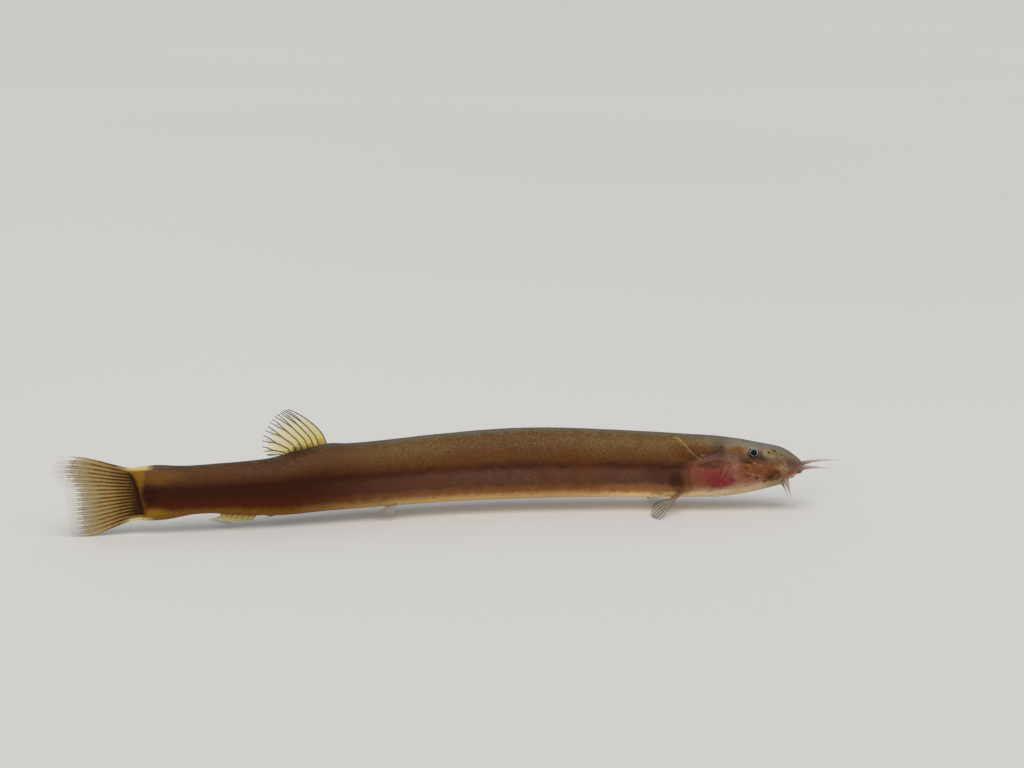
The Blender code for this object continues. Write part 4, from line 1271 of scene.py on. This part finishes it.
def dorsal_point(f, v):
    place = min(1.0, max(0.0, f)) * (len(BACK_FAN) - 1)
    i = min(len(BACK_FAN) - 2, int(place))
    s, reach, slope, bend = [mix(a, b, place - i) for a, b in zip(BACK_FAN[i], BACK_FAN[i + 1])]
    start, turn = math.radians(slope + bend), math.radians(-2.0 * bend)
    arc = reach * MM * (turn / 2.0) / math.sin(turn / 2.0)
    back = (math.sin(start + turn * v) - math.sin(start)) / turn * arc
    rise = (math.cos(start) - math.cos(start + turn * v)) / turn * arc
    low = mix(1.0, 0.35, smooth((f - 0.6) / 0.4))           # the last rays hug the back
    return skin(s * MM, 90.0) + UP * (settle(v, 0.00018 * low, GAP * low) + rise) - ahead(s * MM) * back


ANAL_ROOTS, ANAL_TIPS = (0.0551, 0.0586), (0.0580, 0.0600)     # first and last, behind the snout
ANAL_HEIGHTS = (0.00050, 0.00105)                              # of the first and last tip


def anal_point(f, v):
    root = skin(mix(*ANAL_ROOTS, f), 270.0) - UP * settle(v)
    tip = along_path(mix(*ANAL_TIPS, f)) + UP * mix(*ANAL_HEIGHTS, max(0.0, f) ** 1.2)
    return root.lerp(tip, v)


print("top of the back fin:", round(dorsal_point(0.0, 1.0).z * 1000, 1), "mm above the floor")

# %% [markdown]
# ## The tail fin's surface
# The tail fin is a broad fan whose upper lobe is a little longer, and its lowest ray lies on the floor.
# A flat outline filled with faces would be quicker, but rays have a course of their own: they leave the
# stalk nearly level, spread, and run straight again to their tips. So the height follows a smooth step
# on the way out, and a shallow wave keeps the fan from looking ironed.

# %% The tail fin
CAUDAL_START = 0.0667
CAUDAL_LIFT = 0.00007           # the lowest ray stays this far above the floor
CAUDAL_TOP = 0.0079
CAUDAL_REACH = 0.0065           # of the lower lobe; the upper one is longer


def caudal_point(f, v):
    g = 1.0 - 2.0 * f           # 1 at the upper margin and -1 at the lower one
    root = station(1, CAUDAL_START) + station(2 if g > 0.0 else 3, CAUDAL_START) * 0.985 * g
    tip = mix(-CAUDAL_LIFT, CAUDAL_TOP, (g + 1.0) / 2.0)
    reach = CAUDAL_REACH + 0.0015 * smooth((g - 0.1) / 0.6) - 0.0005 * smooth((g - 0.75) / 0.25)
    reach += 0.0005 * (1.0 - g * g)
    height = mix(root, tip, mix(v, smooth(v / 0.82), 0.75))
    s = CAUDAL_START + reach * v
    wave = 0.00010 * math.sin(5.0 * f + 3.0 * v) * v
    return along_path(s) + left(s) * wave + UP * max(height, CAUDAL_LIFT)


print("a ray of the upper lobe is",
      round((caudal_point(0.15, 1.0) - caudal_point(0.15, 0.0)).length * 1000, 1), "mm long")

# %% [markdown]
# ## The surfaces of the paired fins
# The chest fins spread to the sides and touch the floor with their first ray, and the small belly fins
# trail under the body. They differ only in where their roots and tips lie, so one function makes any of
# them. What it returns is itself a function, the fin's surface, and it mirrors the left ones.

# %% The paired fins
FLOOR_LIFT = 0.00004
TOUCHDOWN = 0.00022             # a ray curves down to the floor over about this height


def paired_fin(mirrored, front, rear, lead, inner, bulge, arch, haste=1.0):
    """The surface of a paired fin, spread from its lead ray to its lifted inner rays.

    front and rear are (metres, degrees) of the first and last root; lead and inner are (metres behind
    the snout, reach sideways, height) of the tips. haste says how soon the fin leaves the flesh: 1
    suits a long fin, and less keeps a short one from kinking."""
    def point(f, v):
        s = mix(front[0], rear[0], f)
        degrees = mix(front[1], rear[1], f)
        degrees = 540.0 - degrees if mirrored else degrees
        root = skin(s, degrees) + outward(s, degrees) * settle(v * haste, 0.0001)
        back = mix(lead[0], inner[0], f) + bulge * 4.0 * f * (1.0 - f)
        reach = mix(lead[1], inner[1], f) * (1.0 if mirrored else -1.0)
        height = mix(lead[2], inner[2], smooth(f * 1.15 - 0.15))
        tip = along_path(back) + left(back) * reach + UP * height
        here = root.lerp(tip, v) + UP * arch * 4.0 * v * (1.0 - v) * (1.0 - 0.6 * f)
        above = here.z - FLOOR_LIFT
        here.z = FLOOR_LIFT + (above + math.sqrt(above * above + TOUCHDOWN * TOUCHDOWN)) / 2.0
        return here
    return point


def pectoral(mirrored, reach):
    return paired_fin(mirrored, front=(0.0120, 222.0), rear=(0.0130, 246.0), lead=(0.0147, reach, -0.0004),
                      inner=(0.0147, 0.0020, 0.0010), bulge=0.0007, arch=0.0003)


def pelvic(mirrored, reach):
    return paired_fin(mirrored, front=(0.0413, 236.0), rear=(0.0421, 251.0), lead=(0.0422, reach, 0.0005),
                      inner=(0.0433, 0.0011, 0.0008), bulge=0.0003, arch=0.0001, haste=0.36)


print("right pectoral tip:", [round(c * 1000, 1) for c in pectoral(False, 0.0056)(0.0, 1.0)], "mm")

# %% [markdown]
# ## Rays
# A ray is a row of tiny bony segments. It leaves the body as one rod, splits into two branches and
# often splits again, and its tips stand free of the skin between them as a fringe. Each branch is one
# thin tube that drifts away from the others past its fork, so all branches of a ray share the same
# lower part. Faint rings in their thickness stand for the segments.

# %% Lay out the rays of a fin
SPLIT, TWIG = 0.23, 0.12        # how far a branch and its twigs drift, in gaps between rays
RAGGED = 0.03                   # the share of its length that a branch may fall short


def opened(v, fork):
    """How far a fork has opened at v: 0 up to the fork and 1 well past it."""
    return smooth((v - fork) / (0.30 + 0.10 * (1.0 - fork)))


def ray_routes(rays, forks, simple, low):
    """For each branch: the ray it belongs to, where it starts and the (f, v) places it passes."""
    step = 1.0 / (rays - 1)
    routes = []
    for k in range(rays):
        alone = k in simple or not forks
        for split in ((0,) if alone else (-1, 1)):
            for twig in ((0,) if alone or len(forks) < 2 else (-1, 1)):
                start = 0.0 if (split, twig) in ((0, 0), (-1, 0), (-1, -1)) else forks[0] * 0.97
                if twig == 1 and split == -1:
                    start = forks[1] * 0.97
                places = []
                start = low if start == 0.0 else start
                for i in range(33):
                    v = mix(start, 1.0, i / 32)
                    drift = 0.0
                    if split:
                        drift += split * SPLIT * opened(v, forks[0])
                    if twig:
                        drift += twig * TWIG * opened(v, forks[1])
                    places.append((k * step + drift * step, v))
                routes.append((k, places))
    return routes


def make_rays(name, surface, rays, forks, simple, thickness, taper, low, material):
    points, faces, reach, rim = [], [], [], []
    for number, (k, places) in enumerate(ray_routes(rays, forks, simple, low)):
        trim = 1.0 - RAGGED * (0.5 + 0.5 * noise.noise(Vector((number * 1.7, k, 3.0))))
        route = [surface(min(1.0, max(0.0, f)), v * trim) for f, v in places]
        radii = []
        for _, v in places:
            joint = 1.0 + 0.10 * math.sin(v * 150.0)
            radii.append(thickness * MM * joint * mix(1.0, taper, max(0.0, v) ** 0.8))
        added = add_tube(points, faces, route, radii, 6)
        reach += [mix(places[0][1], 1.0, r) for r in added]
        rim += [abs(2.0 * k / (rays - 1) - 1.0)] * len(added)
    make_piece(name + "_rays", points, faces, {"reach": reach, "rim": rim}, material, (name,))


print("a ray that forks twice has", len(ray_routes(2, (0.4, 0.7), (0,), 0.0)) - 1, "branches")

# %% [markdown]
# ## The skin of a fin
# Between the rays lies a membrane as thin as wet paper. It is modelled as a closed sheet a few
# hundredths of a millimetre thick, slightly pleated between the rays, and its free edge is drawn in
# between their tips. Light passes through it, more so near the edge, where it carries less pigment.

# %% Close a sheet
def sheet_faces(rows, columns):
    """Faces of a closed sheet: two grids of points, one over the other, joined along their edges."""
    faces = []
    width = columns + 1
    half = width * (rows + 1)
    for i in range(rows):
        for c in range(columns):
            a = i * width + c
            faces.append((a, a + 1, a + 1 + width, a + width))
            faces.append((half + a, half + a + width, half + a + 1 + width, half + a + 1))
    for c in range(columns):
        for row in (0, rows):
            a = row * width + c
            quad = (a, half + a, half + a + 1, a + 1)
            faces.append(quad if row == 0 else quad[::-1])
    for i in range(rows):
        for c in (0, columns):
            a = i * width + c
            quad = (a, a + width, half + a + width, half + a)
            faces.append(quad if c == 0 else quad[::-1])
    return faces


print("a sheet of 1 by 1 has", len(sheet_faces(1, 1)), "faces")

# %% Spread the membrane
PER_GAP, ROWS = 8, 36           # faces between two rays and from root to edge
PLEAT = 0.04                    # mm
ROOT_HALF, EDGE_HALF = 0.030, 0.010     # half the membrane's thickness in mm
MEMBRANE_LIFT = 0.00002         # it never comes nearer to the floor than this


def make_membrane(name, surface, rays, low, edge, notch, material):
    columns = PER_GAP * (rays - 1)
    points = []
    values = {"reach": [], "span": [], "rim": []}
    for side in (1.0, -1.0):
        for i in range(ROWS + 1):
            for c in range(columns + 1):
                f = c / columns
                wave = 0.5 - 0.5 * math.cos(2.0 * math.pi * f * (rays - 1))
                small = 0.5 - 0.5 * math.cos(4.0 * math.pi * f * (rays - 1))
                end = edge - notch * wave - 0.025 * small
                v = mix(low * 0.7, end, i / ROWS)
                across = surface(min(1.0, f + 0.01), v) - surface(max(0.0, f - 0.01), v)
                along = surface(f, min(1.0, v + 0.02)) - surface(f, v - 0.02)
                normal = across.cross(along)
                normal = normal.normalized() if normal.length > 1e-12 else UP
                thick = mix(ROOT_HALF, EDGE_HALF, max(0.0, v)) * side
                here = surface(f, v) + normal * (thick + PLEAT * wave * smooth(v * 2.0)) * MM
                here.z = max(here.z, MEMBRANE_LIFT)
                points.append(here)
                values["reach"].append(v)
                values["span"].append(f * (rays - 1))
                values["rim"].append(abs(2.0 * f - 1.0))
    make_piece(name + "_membrane", points, sheet_faces(ROWS, columns), values, material, (name,))


print("a membrane is", 2.0 * ROOT_HALF, "mm thick at its root and", 2.0 * EDGE_HALF, "at its edge")

# %% [markdown]
# ## Fin materials
# The rays are dark where they leave the body and lose their pigment toward the tips. The membrane is
# tinted: straw yellow on the back fin, tan on the tail. Both fade with the same number, reach, so they
# stay in step. The see-through part is the shader's alpha, which also survives in a game engine.

# %% Mix the fin materials
FIN_GLOSS = 0.06


def see_through(tree, shader, shade, opacity, roughness, bump_size):
    """Joins colour and opacity to the shader and gives it the fine wet surface that all fins share."""
    tree.links.new(shade, shader.inputs["Base Color"])
    tree.links.new(opacity, shader.inputs["Alpha"])
    shader.inputs["Roughness"].default_value = roughness
    shader.inputs["Specular IOR Level"].default_value = FIN_GLOSS
    shader.inputs["Coat Weight"].default_value = FIN_GLOSS
    shader.inputs["Coat Roughness"].default_value = 0.14
    lifted = add(tree, "Bump", {"Height": grain(tree, bump_size), "Strength": 0.4, "Distance": 0.000015})
    tree.links.new(lifted.outputs[0], shader.inputs["Normal"])


def ragged_reach(tree):
    """Distance from root (0) to tip (1) with a cloudy edge."""
    return calc(tree, "MULTIPLY_ADD", cloudy(tree, 0.0005), 0.20, value_of(tree, "reach"))


def with_folds(tree, reach, shade):
    """The yellow folds of the tail stalk run on over the first part of the tail fin's margins."""
    fold = times(tree, between(tree, value_of(tree, "rim"), 0.84, 0.97), between(tree, reach, 0.30, 0.10))
    return blend(tree, fold, shade, SHADES["fold"])


print("what the fins share is ready")


# %% Rays and membranes as materials
def ray_material(name, shades, solid, folds=False):
    """solid is the opacity in the middle of a ray and at its tip."""
    material, tree, shader = new_material(name)
    reach = ragged_reach(tree)
    shade = ramp(tree, reach, [(place, colour(code)) for place, code in shades])
    joints = times(tree, between(tree, grain(tree, 0.00012, 2.0), 0.48, 0.66, 0.0, 0.35),
                   between(tree, reach, 0.2, 0.6))
    shade = blend(tree, joints, shade, colour(shades[-1][1]))
    if folds:
        shade = with_folds(tree, reach, shade)
    see_through(tree, shader, shade, between(tree, reach, 0.55, 1.0, *solid), 0.38, 0.00006)
    return material


def membrane_material(name, shades, solid, folds=False, stain=()):
    """solid is the opacity at the root, in the middle and at the edge; a stain darkens some roots."""
    material, tree, shader = new_material(name)
    reach = ragged_reach(tree)
    shade = ramp(tree, reach, [(place, colour(code)) for place, code in shades])
    span = value_of(tree, "span")
    to_ray = calc(tree, "PINGPONG", span, 0.5)
    dust = times(tree, between(tree, to_ray, 0.34, 0.02, 0.0, 0.55),
                 between(tree, grain(tree, 0.00009, 2.0), 0.40, 0.62))
    shade = blend(tree, dust, shade, colour("#4A3114"))
    if folds:
        shade = with_folds(tree, reach, shade)
    body = between(tree, reach, 0.0, 0.30, solid[0], solid[1])
    thinning = between(tree, reach, 0.55, 0.95, 0.0, solid[1] - solid[2])
    opacity = calc(tree, "ADD", calc(tree, "SUBTRACT", body, thinning), times(tree, dust, 0.25))
    if stain:
        first, last = stain
        dark = times(tree, between(tree, span, first - 0.8, first + 0.8),
                     between(tree, span, last + 0.8, last - 0.8),
                     between(tree, reach, 0.18, 0.05, 0.0, 0.9))
        shade = blend(tree, dark, shade, SHADES["girdle"])
        opacity = calc(tree, "MAXIMUM", opacity, dark)
    see_through(tree, shader, shade, opacity, 0.32, 0.00015)
    return material


print("fin recipes ready")

# %% [markdown]
# ## Straw, tan and smoke
# The two recipes now get their colours, from root to tip. The tail is brown at its root and fades until
# it is almost clear, the back fin is straw yellow with dark rays and a dark stain at its rear roots, and
# the chest and belly fins have hardly any colour. One material for all would be simpler, but the fins
# are what tells this fish from a plain brown eel.

# %% Eight fin materials
tail_rays = ray_material("tail_rays", (
    (0.00, "#341A06"), (0.32, "#402808"), (0.50, "#6A5026"), (0.66, "#A08C62"), (1.00, "#B8AA8A")),
    (1.0, 0.14), True)
tail_web = membrane_material("tail_membrane", (
    (0.00, "#3C1C04"), (0.05, "#4A2C0C"), (0.17, "#86621F"), (0.42, "#B48E48"), (0.60, "#BEA46A"),
    (0.80, "#D2C098"), (1.00, "#E8DEC8")), (0.97, 0.82, 0.04), True)
back_rays = ray_material("back_fin_rays", (
    (0.00, "#4A3010"), (0.35, "#5A4626"), (0.70, "#524632"), (1.00, "#4C463C")), (1.0, 0.95))
back_web = membrane_material("back_fin_membrane", (
    (0.00, "#6A4E1C"), (0.04, "#B09238"), (0.12, "#E4CE74"), (0.45, "#EADCA6"), (0.75, "#F0E8CC"),
    (1.00, "#F4F0E4")), (0.90, 0.54, 0.22), stain=(3.6, 7.4))
bristle_rays = ray_material("chest_fin_rays", (
    (0.00, "#8E6C40"), (0.30, "#8E7650"), (0.50, "#4A3828"), (1.00, "#2E241A")), (0.9, 0.90))
pale_rays = ray_material("pale_fin_rays", (
    (0.00, "#5E4620"), (0.40, "#86683A"), (1.00, "#A8926A")), (0.9, 0.60))
straw_web = membrane_material("straw_membrane", (
    (0.00, "#8A6A24"), (0.16, "#D8BC58"), (0.50, "#ECDC94"), (1.00, "#F4EAC8")), (0.85, 0.50, 0.22))
clear_web = membrane_material("clear_membrane", (
    (0.00, "#8E7040"), (0.16, "#BCA478"), (0.50, "#DACEB2"), (1.00, "#E6E0D0")), (0.50, 0.10, 0.04))
print("eight fin materials mixed")

# %% [markdown]
# ## Counting rays
# Anyone who knows fish counts the rays: eighteen in the tail, nine on the back, seven in the anal fin,
# eight in each chest fin and six in each belly fin. The counts stand in one table with the places of the
# forks, as shares of a ray's length. The tail's rays fork twice and the others once. The first ray of a
# fin stays whole, and so does the tail's last one.

# %% Make all the fins
INSIDE_FLESH = -0.13            # the tail's rays start this share of their length ahead of their root
PECTORAL = (8, (0.50,), 0.040, 0.66, (0.90, 0.07), bristle_rays, clear_web)
PELVIC = (6, (0.50,), 0.036, 0.50, (0.90, 0.07), pale_rays, clear_web)
FINS = (
    # name, surface, (rays, forks, ray thickness mm, its share at the tip, (edge and notch of the
    # membrane), materials of the rays and of the membrane)
    ("caudal_fin", caudal_point, (18, (0.36, 0.64), 0.100, 0.26, (0.84, 0.06), tail_rays, tail_web)),
    ("dorsal_fin", dorsal_point, (9, (0.52,), 0.056, 0.60, (0.88, 0.10), back_rays, back_web)),
    ("anal_fin", anal_point, (7, (0.55,), 0.044, 0.50, (0.86, 0.08), pale_rays, straw_web)),
    ("pectoral_fin_left", pectoral(True, 0.0060), PECTORAL),
    ("pectoral_fin_right", pectoral(False, 0.0056), PECTORAL),
    ("pelvic_fin_left", pelvic(True, 0.0026), PELVIC),
    ("pelvic_fin_right", pelvic(False, 0.0024), PELVIC),
)
for name, surface, (rays, forks, thickness, taper, (edge, notch), ray_look, web_look) in FINS:
    on_tail = name == "caudal_fin"
    low = INSIDE_FLESH if on_tail else 0.0
    simple = (0, rays - 1) if on_tail else (0,)
    make_rays(name, surface, rays, forks, simple, thickness, taper, low, ray_look)
    make_membrane(name, surface, rays, low, edge, notch, web_look)

# %% [markdown]
# ## Floor, light and camera
# The fish is shown on a plain pale floor under soft studio light. One large lamp above gives the long
# highlight on the wet back, a second from the front opens the shadows, and a pale world fills the rest.
# The camera has a long lens and looks ten degrees down, which shows the flank and a little of the back.

# %% The floor
def floor_material():
    material, tree, shader = new_material("pale_floor")
    soft = between(tree, grain(tree, 0.25, 1.0), 0.3, 0.7)
    tree.links.new(blend(tree, soft, colour("#E6E4E0"), colour("#E3E1DD")), shader.inputs["Base Color"])
    shader.inputs["Roughness"].default_value = 0.7
    return material


floor_mesh = bpy.data.meshes.new("floor")
floor_mesh.from_pydata([(-6.0, -4.0, 0.0), (6.0, -4.0, 0.0), (6.0, 8.0, 0.0), (-6.0, 8.0, 0.0)],
                       [], [(0, 1, 2, 3)])
floor_mesh.materials.append(floor_material())
floor = bpy.data.objects.new("floor", floor_mesh)
bpy.context.scene.collection.objects.link(floor)
floor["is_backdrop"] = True
print("floor laid")


# %% Lights and world
FILL_PLACE = Vector((-0.20, -0.60, 0.25))


def add_lamp(name, kind, power, shade, turn, place=(0.0, 0.0, 0.0)):
    lamp = bpy.data.lights.new(name, kind)
    lamp.energy = power
    lamp.color = shade
    holder = bpy.data.objects.new(name, lamp)
    holder.location = place
    holder.rotation_euler = turn
    bpy.context.scene.collection.objects.link(holder)
    return lamp


wide = add_lamp("wide_soft_lamp", "SUN", 1.5, (1.0, 0.985, 0.96),
                (math.radians(28.0), math.radians(8.0), 0.0))
wide.angle = math.radians(55.0)
fill = add_lamp("front_fill", "AREA", 0.7, (0.96, 0.98, 1.0),
                (-FILL_PLACE).to_track_quat("-Z", "Y").to_euler(), FILL_PLACE)
fill.shape = "RECTANGLE"
fill.size, fill.size_y = 0.40, 0.30
world = bpy.data.worlds.new("pale_room")
world.use_nodes = True
world.node_tree.nodes["Background"].inputs["Color"].default_value = (0.90, 0.92, 0.95, 1.0)
world.node_tree.nodes["Background"].inputs["Strength"].default_value = 0.42
bpy.context.scene.world = world
bpy.context.scene.view_settings.view_transform = "Standard"
print("lit with two lamps")

# %% The camera
LOOK_DOWN = 10.0                # degrees
CAMERA_PLACE = (0.005455, -0.274939, 0.061768)

lens = bpy.data.cameras.new("camera")
lens.lens = 100.0
lens.sensor_width = 36.0
lens.clip_start = 0.01
camera = bpy.data.objects.new("camera", lens)
camera.location = CAMERA_PLACE
camera.rotation_euler = (math.radians(90.0 - LOOK_DOWN), 0.0, 0.0)
bpy.context.scene.collection.objects.link(camera)
bpy.context.scene.camera = camera
print("camera looks", LOOK_DOWN, "degrees down")

# %% [markdown]
# ## Close the scene
# Two boxes are written down: that of the bare solids and that of the dressed fish. The dressed fish must
# not outgrow its solids.

# %% Print the boxes and finish
dressed_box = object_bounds()
for label, corners in (("solids", solid_box), ("dressed", dressed_box)):
    print(label, [[round(c * 1000, 2) for c in corner] for corner in corners], "mm")
